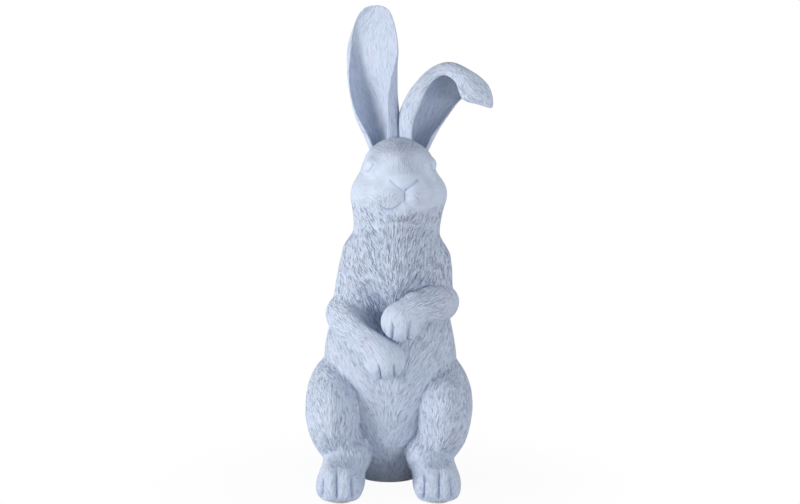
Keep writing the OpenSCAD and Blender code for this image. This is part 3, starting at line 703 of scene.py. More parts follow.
def bump(a, b, place, half, height, turn=0.0):
    """A soft mound, as a height."""
    c, s = math.cos(turn), math.sin(turn)
    x, y = a - place[0], b - place[1]
    u, v = (x * c + y * s) / half[0], (y * c - x * s) / half[1]
    return height * np.exp(-(u * u + v * v))


# Ways in which the fine hairs can run, mixed by how the fur lies
COMB_WAYS = [(0, 0, 1), (0.42, 0, 0.91), (-0.42, 0, 0.91), (0.77, 0, 0.64), (-0.77, 0, 0.64), (0, 0.57, 0.82),
             (0, -0.57, 0.82), (0, 1, 0), (0.55, -0.8, -0.2), (-0.55, -0.8, -0.2), (0.42, 0.45, 0.8),
             (-0.42, 0.45, 0.8)]

# Grooves between the toes, in millimetres: place across, start, lean
PAW_GROOVES = {RIGHT: [(-4.6, 3, 1), (6.4, 4, -1)], LEFT: [(-6.8, 1, 1), (5.6, 0, -1), (-12.2, 7, 2)]}
# Place from the foot's middle outwards, top, lean
FOOT_GROOVES = {RIGHT: [(-10.0, 27, 0.3), (1.6, 29, 0.1), (13.0, 24, -0.6)],
                LEFT: [(-10.6, 27, 0.3), (0.9, 29, 0.1), (10.6, 26, -0.6)]}


def chest_relief(figure, p):
    """Soft hollows between the chest and the upper arms, and down the middle of the belly."""
    x, z = p[:, 0] / figure.form.torso_w, p[:, 2] / figure.form.neck_h
    front = smooth(-5 * MM, -20 * MM, p[:, 1])
    rise = sum(groove(x, z, points, width, depth, 0.3) for points, width, depth in CHEST_GROOVES)
    return front * rise * MM


def rabbit():
    return Rabbit(bpy.context.scene.rabbit_form)


def trunk_flow(figure, p):
    """The way that the fur lies on the trunk, the arms and the neck."""
    neck_h = figure.form.neck_h
    x, y, z = p[:, 0], p[:, 1], p[:, 2]
    middle = figure.head_place[0] * smooth(neck_h * 0.45, neck_h, z)
    middle = middle + 4 * MM * noise(p * (0, 0, 1), 22 * MM, 9)
    off = x - middle
    front = smooth(figure.form.torso_d * 0.25, -figure.form.torso_d * 0.15, y)
    lean = 0.75 - 0.25 * smooth(neck_h * 0.5, neck_h * 0.9, z)
    flow = np.stack([-lean * np.tanh(off / (15 * MM)) * front + 0.25 * (1 - front) * np.sign(x),
                     -0.3 * front + 0.1 * (1 - front), -np.ones(len(p))], -1)
    for side in (RIGHT, LEFT):
        start, end = figure.arm[side]
        near = smooth(8 * MM, -4 * MM, limb(p, start, end, figure.form.shoulder_r, figure.form.elbow_r))
        flow += near[:, None] * 2 * unit(end - start + (0, 0, -0.3 * length(end - start)))
        near = smooth(10 * MM, 0, figure.haunch(p, side)) * smooth(neck_h * 0.5, neck_h * 0.4, z)
        flow += near[:, None] * (-side * 0.6, -0.6, -1.2)
    return unit(flow)


def head_flow(figure, p):
    """The way that the fur lies on the head: away from the nose, and down the neck below the chin."""
    q = figure.head_view(p)
    nose = np.array([0, -0.46, 0.02]) * figure.head_size
    away = q - nose
    away[:, 0] *= 0.9
    flow = turned(unit(away), figure.form.head_turn)
    low = smooth(figure.form.neck_h + 22 * MM, figure.form.neck_h + 4 * MM, p[:, 2])[:, None]
    return unit(flow * (1 - low) + trunk_flow(figure, p) * low * 1.2)


def tangent(flow, normal):
    return unit(flow - np.einsum("ij,ij->i", flow, normal)[:, None] * normal)


def head_fur(figure, p):
    """How deep the fur is on the head, from 0 on the smooth face to 1."""
    x, y, z = figure.head_view(p).T / MM
    edge = -14.5 + 0.2 * np.maximum(np.abs(x) - 8, 0)
    face = smooth(6, -12, y) * smooth(edge - 9, edge, z)
    band = np.exp(-(x / 10) ** 2) * smooth(5, 11, z)
    pad = bump(x, z, (-12, -8), (8, 7), 1)
    other_pad = bump(x, z, (8, -7), (5, 5), 1)
    cheek = bump(x, z, (-24, -16), (10, 10), 1)
    nose = bump(x, z, (-0.6, 3), (10, 4.5), 1)
    crown = smooth(23, 29, z)
    soft = 0.15 + 0.28 * band + 0.55 * pad + 0.4 * other_pad + 0.5 * cheek + 0.3 * crown - nose
    return (1 - 0.5 * smooth(5, 18, z)) * (1 - face) + np.clip(soft, 0, 1) * face


def face_relief(figure, p):
    """Heights of the carved features of the face, from a view straight at it and one at each eye."""
    x, y, z = figure.head_view(p).T / MM
    front = smooth(-14, -22, y)
    rise = np.zeros(len(p))
    # nose: a flat triangle, edged by two creases that meet at its tip
    for side in (RIGHT, LEFT):
        edge = [(side * NOSE_WING - 0.6, 6.6), (side * 7.2 - 0.6, 2.8), (side * 3.0 - 0.7, -0.6), NOSE_TIP]
        rise += front * groove(x, z, edge, 0.75, NOSE_DEPTHS[side], 0.12)
        rise += front * groove(x, z, edge, 2.6, 0.5, 0.2)
    rise += front * bump(x, z, (NOSE_WING - 1, 6.2), (1.4, 1.0), -0.6)
    rise += front * bump(x, z, (-0.6, 2.6), (7, 2.8), 1.0)
    # upper lip and mouth
    rise += front * groove(x, z, LIP_SPLIT, 0.75, 1.05, 0.06)
    rise += front * groove(x, z, RIGHT_MOUTH, 0.7, 1.0, 0.16)
    rise += front * groove(x, z, LEFT_MOUTH, 0.9, 0.5, 0.3)
    rise += front * groove(x, z, MOUTH_SHADE, 2.6, 1.1, 0.3)
    # whisker pads and chin
    for side in (RIGHT, LEFT):
        rise += front * bump(x, z, (side * 9.0 - 0.5, -8.0), (7.5, 5.5), 1.4)
    rise += front * bump(x, z, (-1, -20), (8, 5), 0.6)
    # eyes: closed lids, each in a view of its own, where a runs to the back of the head and b up
    ax = np.abs(x)
    out = unit(EYE_WAY)
    across = unit(np.cross(Z_AXIS, out))
    up = np.cross(out, across)
    local = np.stack([ax, y, z], -1) - EYE_PLACE
    a, b = local @ across, local @ up
    near = smooth(15, 10, length(local))
    rise += near * bump(a, b, (0, 0.3), (5.0, 4.3), 1.1)
    rise += near * groove(a, b, CLOSED_LID, 0.75, 1.05, 0.12)
    rise += near * bump(a, b, (6.6, -4.4), (1.1, 0.9), -0.4)
    rise += near * groove(a, b, UPPER_LID, 1.5, 0.25, 0.25)
    rise += near * groove(a, b, LOWER_LID, 1.4, 0.3, 0.3)
    # edge of the fur on the forehead
    rise += 0.5 * (smooth(30, 34, z) * smooth(-26, -8, -ax))
    return rise * MM


class RABBIT_OT_body(bpy.types.Operator):
    """Sculpts the trunk with its upper arms"""
    bl_idname = "rabbit.body"
    bl_label = "Body"

    def execute(self, context):
        figure = rabbit()
        form = figure.form
        line = [figure.seat + (0, 0, form.neck_h * 0.2),
                (form.torso_w * 0.06, form.torso_d * 0.02, form.neck_h)]
        top = form.neck_h + NECK_LAP

        def body(p):
            dive = smooth(top, top + LAP_FADE, p[:, 2]) * LAP_DEPTH
            seated = cut(figure.trunk(p) + dive, form.felt_t - p[:, 2], 3 * MM)
            return cut(seated, p[:, 2] - top - LAP_END, 1 * MM)

        mesh, p = skin("body", BODY_BALL, line, X_AXIS, body, 0.4)
        p = swell(mesh, p, chest_relief(figure, p) + unevenness(p))
        normal = normals(mesh)
        flow = tangent(trunk_flow(figure, p), normal)
        others = np.minimum.reduce([figure.tail(p), *figure.limbs(p)])
        arms = np.minimum(figure.foreleg(p, RIGHT), figure.foreleg(p, LEFT))
        buried = (others < -1 * MM) | (arms < 1.2 * MM) | (p[:, 2] < form.felt_t + 1 * MM) \
            | (p[:, 2] > form.neck_h + 2 * MM)
        low, half = form.felt_t, form.neck_h / 2
        fur = smooth(low, low + 5 * MM, p[:, 2]) * (0.65 + 0.35 * smooth(half, half * 1.4, p[:, 2]))
        finish_piece(mesh, flow, fur, 1, "body", buried, figure.painted_armpit_shade(p))
        return {"FINISHED"}


class RABBIT_OT_head(bpy.types.Operator):
    """Sculpts the head with its face"""
    bl_idname = "rabbit.head"
    bl_label = "Head"

    def execute(self, context):
        figure = rabbit()
        form = figure.form
        line = figure.head_place + turned(HEAD_LINE, form.head_turn)
        low = form.neck_h - NECK_LAP

        def head(p):
            dive = smooth(low, low - LAP_FADE, p[:, 2]) * LAP_DEPTH
            proud = 0.1 * MM * np.clip((p[:, 2] - form.neck_h) / (2 * MM), -1, 1)
            return cut(figure.trunk(p) + dive - proud, low - LAP_END - p[:, 2], 1 * MM)

        mesh, p = skin("head", HEAD_BALL, line, X_AXIS, head)
        smoother = 0.25 + 0.75 * smooth(form.neck_h + 14 * MM, form.neck_h + 4 * MM, p[:, 2])
        p = swell(mesh, p, chest_relief(figure, p) + unevenness(p) * smoother)
        relief = face_relief(figure, p)
        # Painted shade in the carved lines of the face, darker where they are deeper
        crease = -relief / MM * 0.33
        p = swell(mesh, p, relief)
        flow = tangent(head_flow(figure, p), normals(mesh))
        scale = 1 - 0.5 * smooth(form.neck_h, form.neck_h + 12 * MM, p[:, 2])
        finish_piece(mesh, flow, head_fur(figure, p), scale, "head", p[:, 2] < form.neck_h - 2 * MM, crease)
        return {"FINISHED"}


def ear(figure, name, root_shares, ear_l, paths, curls, rims, tip_power, vee):
    """A curled leaf of even wall with round rims, from its root in the head to its tip."""
    form = figure.form
    mesh, turn, rise = new_ball(name, *EAR_BALL)
    root = figure.head_place + turned(np.array(root_shares) * figure.head_size, form.head_turn)
    t = 1 - (1 - rise) ** 1.25
    phi = turn * 2 * math.pi
    low = -np.radians(value_along(curls[0], t))
    high = math.pi + np.radians(value_along(curls[1], t))
    a = low + (high - low) * (1 - np.cos(phi)) / 2

    def cap(t):
        return np.sqrt(np.clip(1 - t ** tip_power, 0, 1))

    def middle(t, a):
        left, right, back = (along(path, t) for path in paths)
        centre = (left + right) / 2
        deep = np.sign(np.sin(a)) * np.abs(np.sin(a)) ** vee
        return root + ear_l * (centre + (cap(t) * np.cos(a))[:, None] * (right - left) / 2
                               + (cap(t) * deep)[:, None] * (back - centre))

    p = middle(t, a)
    way = unit(middle(np.clip(t + 0.005, 0, 0.999), a) - middle(np.clip(t - 0.005, 0, 0.999), a))
    out = unit(np.cross(middle(t, a + 0.02) - middle(t, a - 0.02), way))
    wall = form.ear_wall * value_along(EAR_WALL_SHARES, t) * cap(t)
    rim = EAR_RIM_SHARE + (1 - EAR_RIM_SHARE) * smooth(0, 0.8, np.sin(a))
    right, left = smooth(-0.2, 0.9, np.cos(a)), smooth(-0.2, 0.9, -np.cos(a))
    thick = wall / 2 * (rim + value_along(rims[0], t) * right + value_along(rims[1], t) * left)
    sign = -np.sin(phi)
    p = p + (thick * np.sign(sign) * np.abs(sign) ** 0.55)[:, None] * out
    set_places(mesh, p)
    return mesh, p, way, smooth(0.1, -0.3, sign), t, a


class RABBIT_OT_ears(bpy.types.Operator):
    """Sculpts the upright and the folded ear"""
    bl_idname = "rabbit.ears"
    bl_label = "Ears"

    def execute(self, context):
        figure = rabbit()
        form = figure.form
        ears = [("upright_ear", UPRIGHT_ROOT_SHARES, form.upright_ear_l, UPRIGHT_PATH_SHARES, UPRIGHT_CURLS,
                 UPRIGHT_RIM_SHARES, UPRIGHT_TIP, UPRIGHT_VEE),
                ("folded_ear", FOLDED_ROOT_SHARES, form.folded_ear_l, FOLDED_PATH_SHARES, FOLDED_CURLS,
                 FOLDED_RIM_SHARES, FOLDED_TIP, FOLDED_VEE)]
        for name, *shape in ears:
            mesh, p, way, inside, t, a = ear(figure, name, *shape)
            p = swell(mesh, p, unevenness(p) * 0.6)
            if name == "upright_ear":
                # Painted shade on the wall of each ear's hollow that faces away from the key lamp, and low in
                # the upright ear's hollow
                ear_shade = 0.42 * smooth(0.16, -0.12, np.cos(a)) * smooth(0.85, 0.6, t)
                ear_shade = ear_shade + 0.15 * smooth(0.35, 0.1, t)
            else:
                ear_shade = 0.40 * smooth(0.8, -0.2, np.cos(a)) * smooth(0.75, 0.6, t)
            # Painted shade on the outer side of the upright ear's curled right rim
            rim_shade = 0.22 * smooth(0.1, -0.2, a) * (name == "upright_ear")
            finish_piece(mesh, tangent(way, normals(mesh)), 0.55 - 0.15 * inside, 0.75, name,
                         figure.head(p) < -1 * MM, ear_shade * inside + rim_shade * (1 - inside))
        return {"FINISHED"}


class RABBIT_OT_forelegs(bpy.types.Operator):
    """Sculpts the forelegs that lie crossed on the belly"""
    bl_idname = "rabbit.forelegs"
    bl_label = "Forelegs"

    def execute(self, context):
        figure = rabbit()
        form = figure.form
        for name, side in pair("foreleg"):
            line = figure.foreleg_line[side]
            lift = unit(np.array([side, -1.3, 0]))
            own = [along(line, np.array(t)) + form.elbow_r * up * lift for t, up in FORELEG_LINE_SHARES]

            def foreleg(p):
                widest = ELBOW_HOLLOWS[side]
                soft = (widest - (widest - WRIST_HOLLOW) * smooth(0, 0.45, nearest_share(line, p))) * MM
                trunk = figure.trunk(p)
                limb_gap = figure.foreleg(p, side)
                outer = blend(limb_gap, trunk + FORELEG_SKIRT, soft)
                if side == RIGHT:
                    outer = figure.hollowed(p, outer)
                return np.maximum.reduce([outer, -trunk - FORELEG_SHELL, limb_gap - soft - FORELEG_HEM])

            mesh, p = skin(name, FORELEG_BALL, own, X_AXIS + 0.01, foreleg)
            p = swell(mesh, p, unevenness(p) * smooth(-3 * MM, 0, figure.trunk(p)))
            paw, way, across = figure.paw_frame(side)
            local = (p - paw) / MM
            u, v = local @ across, local @ way
            front = smooth(2, -4, local[:, 1])
            lines = np.zeros(len(p))
            for place, start, lean in PAW_GROOVES[side]:
                points = [(place - lean * 0.5, start), (place, start + 6), (place + lean * 0.2, 16),
                          (place, 20)]
                lines += groove(u, v, points, 0.75, 1.2, 0) * smooth(start - 0.5, start + 4, v)
                lines += groove(u, v, points, 2.3, 0.7, 0) * smooth(start + 3, start + 10, v)
            p = swell(mesh, p, front * lines * MM)
            t = nearest_share(line, p)
            normal = normals(mesh)
            trunk = figure.trunk(p)
            near = np.maximum(smooth(4 * MM, 0, trunk) * smooth(0.5, 0.2, t), smooth(0.3, 0.05, t))
            near = near[:, None]
            flow = unit((1 - near) * tangent(heading(line, t), normal)
                        + near * tangent(trunk_flow(figure, p), normal))
            fur = 0.55 - 0.15 * smooth(0.5, 0.8, t)
            scale = 1 - 0.3 * smooth(0.4, 0.8, t)
            # Painted shade in the grooves between the toes, and on the right foreleg in the hollow beside the
            # chest
            crease = -front * lines * 0.3 + 0.5 * (side == RIGHT) * figure.painted_armpit_shade(p)
            finish_piece(mesh, tangent(flow, normal), fur, scale, name, trunk < 1 * MM, crease)
        return {"FINISHED"}


class RABBIT_OT_haunches(bpy.types.Operator):
    """Sculpts the two haunches"""
    bl_idname = "rabbit.haunches"
    bl_label = "Haunches"

    def execute(self, context):
        figure = rabbit()
        form = figure.form
        for name, side in pair("haunch"):
            own = [(np.array([form.haunch_x, 0, 0]) + np.array(s) * figure.haunch_size) * (side, 1, 1)
                   for s in HAUNCH_LINE_SHARES]

            def haunch(p):
                trunk = figure.trunk(p)
                haunch_gap = figure.haunch(p, side)
                outer = blend(haunch_gap, trunk + HAUNCH_SKIRT, form.haunch_blend)
                hem = haunch_gap - form.haunch_blend - HAUNCH_HEM
                outer = np.maximum.reduce([outer, -trunk - SHELL, hem])
                return cut(outer, form.felt_t + 0.5 * MM - p[:, 2], 2 * MM)

            mesh, p = skin(name, HAUNCH_BALL, own, Y_AXIS, haunch)
            p = swell(mesh, p, unevenness(p))
            normal = normals(mesh)
            trunk = figure.trunk(p)
            inner = smooth(20 * MM, 0, trunk)
            flow = np.stack([-side * (0.25 + 0.35 * inner), -0.45 - 0.1 * inner, np.full(len(p), -1.0)], -1)
            buried = (trunk < -0.4 * MM) | (figure.foot(p, side) < -1 * MM) | (p[:, 2] < form.felt_t + 2 * MM)
            finish_piece(mesh, tangent(flow, normal), 0.78, 1, name, buried)
        return {"FINISHED"}


class RABBIT_OT_feet(bpy.types.Operator):
    """Sculpts the two hind feet"""
    bl_idname = "rabbit.feet"
    bl_label = "Hind feet"

    def execute(self, context):
        figure = rabbit()
        form = figure.form
        for name, side in pair("hind_foot"):
            own = [(np.array([form.foot_x, -form.toe_y, 0]) + np.array(s) * figure.foot_size) * (side, 1, 1)
                   for s in FOOT_LINE_SHARES]

            def foot(p):
                carrier = np.minimum(figure.haunch(p, side), figure.trunk(p))
                outer = blend(figure.foot(p, side), carrier + FOOT_SKIRT, FOOT_HOLLOW)
                return cut(np.maximum(outer, -carrier - SHELL), form.felt_t - p[:, 2], 2.5 * MM)

            mesh, p = skin(name, FOOT_BALL, own, X_AXIS, foot)
            p = swell(mesh, p, unevenness(p) * 0.8)
            q = (p * (side, 1, 1) - (form.foot_x, -form.toe_y, 0)) / MM
            lines = np.zeros(len(p))
            for place, top, lean in FOOT_GROOVES[side]:
                gap = np.abs(q[:, 0] - place - lean * (q[:, 2] - 14) / 10)
                ends = smooth(2, 7, q[:, 2]) * smooth(top + 2, top - 6, q[:, 2] + 0.25 * q[:, 1])
                lines -= ends * (1.3 * np.exp(-(gap / 0.75) ** 2) + 0.8 * np.exp(-(gap / 2.6) ** 2))
            lines *= smooth(34, 22, q[:, 1])
            p = swell(mesh, p, lines * MM)
            flow = np.stack([np.zeros(len(p)), np.full(len(p), -1.0), np.full(len(p), -0.6)], -1)
            buried = (figure.haunch(p, side) < -0.5 * MM) | (p[:, 2] < form.felt_t + 1.5 * MM)
            # The last value is painted shade in the grooves between the toes
            finish_piece(mesh, tangent(flow, normals(mesh)), 0.5, 0.75, name, buried, -lines * 0.25)
        return {"FINISHED"}


class RABBIT_OT_tail(bpy.types.Operator):
    """Sculpts the tail tuft"""
    bl_idname = "rabbit.tail"
    bl_label = "Tail"

    def execute(self, context):
        figure = rabbit()
        form = figure.form

        def tail(p):
            trunk = figure.trunk(p)
            outer = blend(figure.tail(p), trunk + TAIL_SKIRT, TAIL_HOLLOW)
            return cut(np.maximum(outer, -trunk - SHELL), form.felt_t + 0.5 * MM - p[:, 2], 2 * MM)

        place = figure.tail_place
        line = [place, place + (0, 0, 0.5 * MM)]
        mesh, p = skin("tail", TAIL_BALL, line, X_AXIS, tail)
        p = swell(mesh, p, unevenness(p) * 1.5)
        flow = unit(p - place + (0, 0.4 * form.tail_r, -0.2 * form.tail_r)) + (0, 0, 1.0)
        finish_piece(mesh, tangent(flow, normals(mesh)), 1, 1, "tail", figure.trunk(p) < -0.4 * MM)
        return {"FINISHED"}


RESIN_PIECES = ["body", "head", "upright_ear", "folded_ear", "right_foreleg", "left_foreleg", "right_haunch",
                "left_haunch", "right_hind_foot", "left_hind_foot", "tail"]


def carved(node):
    return bpy.context.scene.objects["carved_" + node]


def comb_shares(flow):
    """How near the fur lies to each of the ways in which the fine hairs can run."""
    near = np.abs(flow @ unit(COMB_WAYS).T) ** 24
    return near / np.maximum(near.sum(1), 1e-6)[:, None]


def stroke_seeds(tree, p, flow, fur, scale, buried, reach_l, reach_w, draw):
    """Vertices where strokes are centred, spread so that none crowds another."""
    cell = reach_w * 0.62
    keys = np.floor(p / cell).astype(np.int64)
    order = draw.permutation(len(p))
    _, first = np.unique(keys[order], axis=0, return_index=True)
    candidates = order[np.sort(first)]
    candidates = candidates[(fur[candidates] > 0.05) & ~buried[candidates]]
    free = np.ones(len(p), bool)
    seeds = []
    for i in candidates:
        if not free[i]:
            continue
        seeds.append(i)
        s = scale[i]
        found = tree.find_range(Vector(p[i]), reach_l * s)
        near = np.array([f[1] for f in found])
        d = p[near] - p[i]
        a = d @ flow[i]
        c = length(d - a[:, None] * flow[i])
        free[near[(a / (reach_l * s)) ** 2 + (c / (reach_w * s)) ** 2 < 1]] = False
    return np.array(seeds)


def hollows(figure, p, cell=2.5 * MM):
    """How deep each place lies in a fold between the forms, from 0 to 1."""
    low = p.min(axis=0) - 4 * cell
    counts = np.ceil((p.max(axis=0) + 4 * cell - low) / cell).astype(int)
    steps = np.meshgrid(*(np.arange(n) for n in counts), indexing="ij")
    spots = low + cell * np.stack(steps, -1).reshape(-1, 3)
    forms = [figure.head(spots), figure.trunk(spots), figure.tail(spots), *figure.limbs(spots)]
    solid = smooth(cell / 2, -cell / 2, np.minimum.reduce(forms)).reshape(counts)
    for _ in range(4):
        for axis in range(3):
            solid = (np.roll(solid, 1, axis) + solid + np.roll(solid, -1, axis)) / 3
    q = (p - low) / cell
    base = np.floor(q).astype(int)
    f = q - base
    filled = np.zeros(len(p))
    for corner in np.ndindex(2, 2, 2):
        w = np.prod(np.where(corner, f, 1 - f), axis=1)
        filled += w * solid[tuple((base + corner).T)]
    return smooth(0.56, 0.82, filled)


class RABBIT_OT_fur(bpy.types.Operator):
    """Gouges the fur's strokes into every sculpted piece"""
    bl_idname = "rabbit.fur"
    bl_label = "Fur"

    def execute(self, context):
        settings = context.scene.rabbit_fur
        draw = np.random.default_rng(7)
        meshes = [carved(name).data for name in RESIN_PIECES]
        p = np.concatenate([places(m) for m in meshes])
        normal = np.concatenate([normals(m) for m in meshes])
        flow = np.concatenate([get_vectors(m, "flow") for m in meshes])
        fur, scale, buried = (np.concatenate([get_values(m, name) for m in meshes])
                              for name in ("fur", "fur_scale", "buried"))
        stray = 0.30 * noise(p, 11 * MM, 21) + 0.15 * noise(p, 5 * MM, 22)
        flow = unit(flow * np.cos(stray)[:, None] + np.cross(normal, flow) * np.sin(stray)[:, None])
        hollow = hollows(rabbit(), p)
        tree = KDTree(len(p))
        for i, place in enumerate(p.tolist()):
            tree.insert(place, i)
        tree.balance()
        buried = buried > 0.5
        reach_l, reach_w = settings.length * 0.6, settings.pitch
        seeds = stroke_seeds(tree, p, flow, fur, scale, buried, reach_l, reach_w, draw)
        n = len(seeds)
        long = settings.length / 2 * scale[seeds] * draw.uniform(0.75, 1.25, n)
        wide = settings.width / 2 * scale[seeds] * draw.uniform(0.8, 1.2, n)
        deep = settings.depth * fur[seeds] * scale[seeds] * draw.uniform(0.6, 1.25, n)
        slant = np.radians(draw.normal(0, 6, n))
        way = flow[seeds]
        across = unit(np.cross(normal[seeds], way))
        way, across = (np.cos(slant)[:, None] * way + np.sin(slant)[:, None] * across,
                       np.cos(slant)[:, None] * across - np.sin(slant)[:, None] * way)
        sway = draw.normal(0, 0.06, n) / long
        depth = np.zeros(len(p))
        for start in range(0, n, STROKE_BATCH):
            batch = np.arange(start, min(start + STROKE_BATCH, n))
            lists = [[f[1] for f in tree.find_range(Vector(p[seeds[s]]), long[s])] for s in batch]
            stroke = np.repeat(batch, [len(x) for x in lists])
            vertex = np.concatenate([np.array(x, int) for x in lists])
            d = p[vertex] - p[seeds[stroke]]
            a = np.einsum("ij,ij->i", d, way[stroke]) / long[stroke]
            c = np.einsum("ij,ij->i", d, across[stroke]) + sway[stroke] * (a * long[stroke]) ** 2
            facing = np.einsum("ij,ij->i", normal[vertex], normal[seeds[stroke]]) > 0.6
            body = np.clip(1 - a * a, 0, 1)
            c = c / (wide[stroke] * (0.45 + 0.55 * body))
            cut_depth = deep[stroke] * body ** 0.8 * np.clip(1 - c * c, 0, 1) * facing
            np.maximum.at(depth, vertex, cut_depth)
        stops = np.cumsum([0] + [len(m.vertices) for m in meshes])
        for i, mesh in enumerate(meshes):
            span = slice(stops[i], stops[i + 1])
            set_places(mesh, p[span] - normal[span] * depth[span, None])
            put_values(mesh, "recess", np.clip(depth[span] / settings.depth, 0, 1))
            # Painted shade in the folds between the forms, added to each piece's own painted shade
            put_values(mesh, "crease", np.clip(get_values(mesh, "crease") + 0.14 * hollow[span], 0, 1))
            shares = comb_shares(flow[span])
            for k in range(0, len(COMB_WAYS), 3):
                put_vectors(mesh, f"comb_{k // 3}", shares[:, k:k + 3])
            for spent in ("flow", "fur_scale", "buried"):
                mesh.attributes.remove(mesh.attributes[spent])
        return {"FINISHED"}


# Materials

class Link:
    """A shader socket on which sums can be written."""

    def __init__(self, shader, socket):
        self.shader = shader
        self.socket = socket

    def maths(self, kind, first, second):
        return self.shader.node("ShaderNodeMath", {"operation": kind}, {0: first, 1: second})

    def __add__(self, other):
        return self.maths("ADD", self, other)

    __radd__ = __add__

    def __mul__(self, other):
        return self.maths("MULTIPLY", self, other)

    __rmul__ = __mul__

    def __sub__(self, other):
        return self.maths("SUBTRACT", self, other)

    def __rsub__(self, other):
        return self.maths("SUBTRACT", other, self)


class Shader:
    """The nodes of a material or a world, made by one method."""

    def __init__(self, owner):
        owner.use_nodes = True
        self.owner = owner
        self.tree = owner.node_tree
        self.tree.nodes.clear()

    def node(self, kind, settings=None, inputs=None, output=0):
        made = self.tree.nodes.new(kind)
        for name, value in (settings or {}).items():
            setattr(made, name, value)
        for name, value in (inputs or {}).items():
            if isinstance(value, Link):
                self.tree.links.new(value.socket, made.inputs[name])
            else:
                made.inputs[name].default_value = value
        return Link(self, made.outputs[output]) if made.outputs else None

    def mix(self, factor, a, b):
        """A colour between a and b."""
        names = {"Factor": factor, 6: a, 7: b}
        return self.node("ShaderNodeMix", {"data_type": "RGBA"}, names, 2)

    def noise(self, place, scale, detail, rough=0.5):
        inputs = {"Vector": place, "Scale": scale, "Detail": detail, "Roughness": rough}
        return self.node("ShaderNodeTexNoise", {}, inputs)

    def ramp(self, value, low, high):
        """0 below low and 1 above high."""
        return self.node("ShaderNodeMapRange", {"interpolation_type": "SMOOTHSTEP"},
                         {"Value": value, "From Min": low, "From Max": high})

    def vector(self, kind, a, b):
        """A sum on vectors, or a vector times a number."""
        inputs = {0: a, (3 if kind == "SCALE" else 1): b}
        return self.node("ShaderNodeVectorMath", {"operation": kind}, inputs)

    def attribute(self, name, output):
        return self.node("ShaderNodeAttribute", {"attribute_name": name}, output=output)

    def object_place(self):
        return self.node("ShaderNodeTexCoord", output=3)

    def surface(self, base, roughness, normal, **rest):
        inputs = {"Base Color": base, "Roughness": roughness, "Normal": normal, **rest}
        return self.finished(self.node("ShaderNodeBsdfPrincipled", {}, inputs))

    def finished(self, shade, output="ShaderNodeOutputMaterial"):
        """The material or the world, with a shader on its output."""
        self.node(output, {}, {"Surface": shade})
        return self.owner

    def bump(self, height, strength, distance):
        return self.node("ShaderNodeBump", {}, {"Height": height, "Strength": strength, "Distance": distance})


def new_material(name):
    return Shader(bpy.data.materials.new(name))


def rgba(tint, light=1):
    """A colour with its alpha, made lighter or darker."""
    return (*(light * c for c in tint), 1)


def resin_material(finish):
    """Matt periwinkle paint over carved resin: fine hairs that follow the fur, darker in the gouges (partly a
    paint wash, partly painted shade), with painted shade in the creases and folds and a painted highlight on
    the fur's ridges.
    """
    s = new_material("painted_resin")
    place = s.object_place()
    recess, fur, crease = (s.attribute(name, 2) for name in ("recess", "fur", "crease"))
    drift = s.node("ShaderNodeTexNoise", {}, {"Vector": place, "Scale": DRIFT_SCALE, "Detail": 1.0}, 1)
    bent = s.vector("ADD", place, s.vector("SCALE", s.vector("SUBTRACT", drift, (0.5, 0.5, 0.5)), 0.0022))
    hair_size = (1 / HAIRS_ACROSS, 1 / HAIRS_ACROSS, 1 / HAIRS_ALONG)
    hairs = 0
    for k, way in enumerate(COMB_WAYS):
        if k % 3 == 0:
            shares = s.attribute(f"comb_{k // 3}", 1)
        turn = Vector(way).to_track_quat("Z", "Y").to_euler()
        combed = s.node("ShaderNodeMapping", {"vector_type": "TEXTURE"},
                        {"Vector": bent, "Rotation": turn, "Scale": hair_size})
        share_k = s.node("ShaderNodeSeparateXYZ", {}, {0: shares}, k % 3)
        hairs = share_k * s.noise(combed, 1.0, 3.0, 0.55) + hairs
    gouge = s.ramp(hairs, 0.45, 0.41) * fur
    clouds = s.ramp(s.noise(place, CLOUD_SCALE, 2.0), 0.42, 0.66)
    paint = s.mix(clouds * 0.5, rgba(finish.resin), rgba(finish.lilac))
    mottle = s.noise(place, MOTTLE_SCALE, 4.0, 0.6)
    # Lighter ridges of the fur: dry-brushing, and a painted highlight where light catches them
    ridges = s.ramp(hairs, 0.45, 0.62) * fur * (1 - recess)
    paint = s.mix(ridges * 0.6, paint, rgba(finish.ridge))
    # Painted shade in the gouges, the fine hair lines, the creases and the folds (in the gouges partly a
    # paint wash), plus random mottle in the paint
    shade_and_mottle = recess * 0.46 + gouge * 0.44 + crease * 0.8 + (mottle - 0.5) * 0.10
    base = s.mix(s.node("ShaderNodeClamp", {}, {"Value": shade_and_mottle}), paint, rgba(finish.recess))
    grain = s.noise(place, GRAIN_SCALE, 3.0, 0.6)
    height = (hairs * 1.6 - gouge * 0.3) * fur + grain * 0.06
    normal = s.bump(height, 1.0, 0.0015)
    rough = 0.66 + 0.14 * mottle + 0.08 * recess
    return s.surface(base, rough, normal, **{"Specular IOR Level": 0.3})


def birch_material(finish):
    """Turned birch with grain along each dowel."""
    s = new_material("birch")
    place = s.object_place()
    grain = s.noise(place, 260.0, 5.0, 0.65)
    base = s.mix(s.ramp(grain, 0.35, 0.7), rgba(finish.birch), rgba(finish.birch, 0.62))
    return s.surface(base, 0.55 + 0.2 * grain, s.bump(grain, 0.3, 0.0003))


def steel_material(finish):
    """Drawn steel rod."""
    s = new_material("drawn_steel")
    grain = s.noise(s.object_place(), 900.0, 3.0, 0.7)
    base = s.mix(grain, rgba(finish.steel), rgba(finish.steel, 0.8))
    return s.surface(base, 0.28 + 0.16 * grain, s.bump(grain, 0.15, 0.0001), Metallic=1.0)


def rubber_material(finish):
    """Matt moulded rubber."""
    s = new_material("moulded_rubber")
    grain = s.noise(s.object_place(), 700.0, 4.0, 0.6)
    base = s.mix(grain, rgba(finish.rubber), rgba(finish.rubber, 1.8))
    return s.surface(base, 0.7 + 0.15 * grain, s.bump(grain, 0.2, 0.0002))


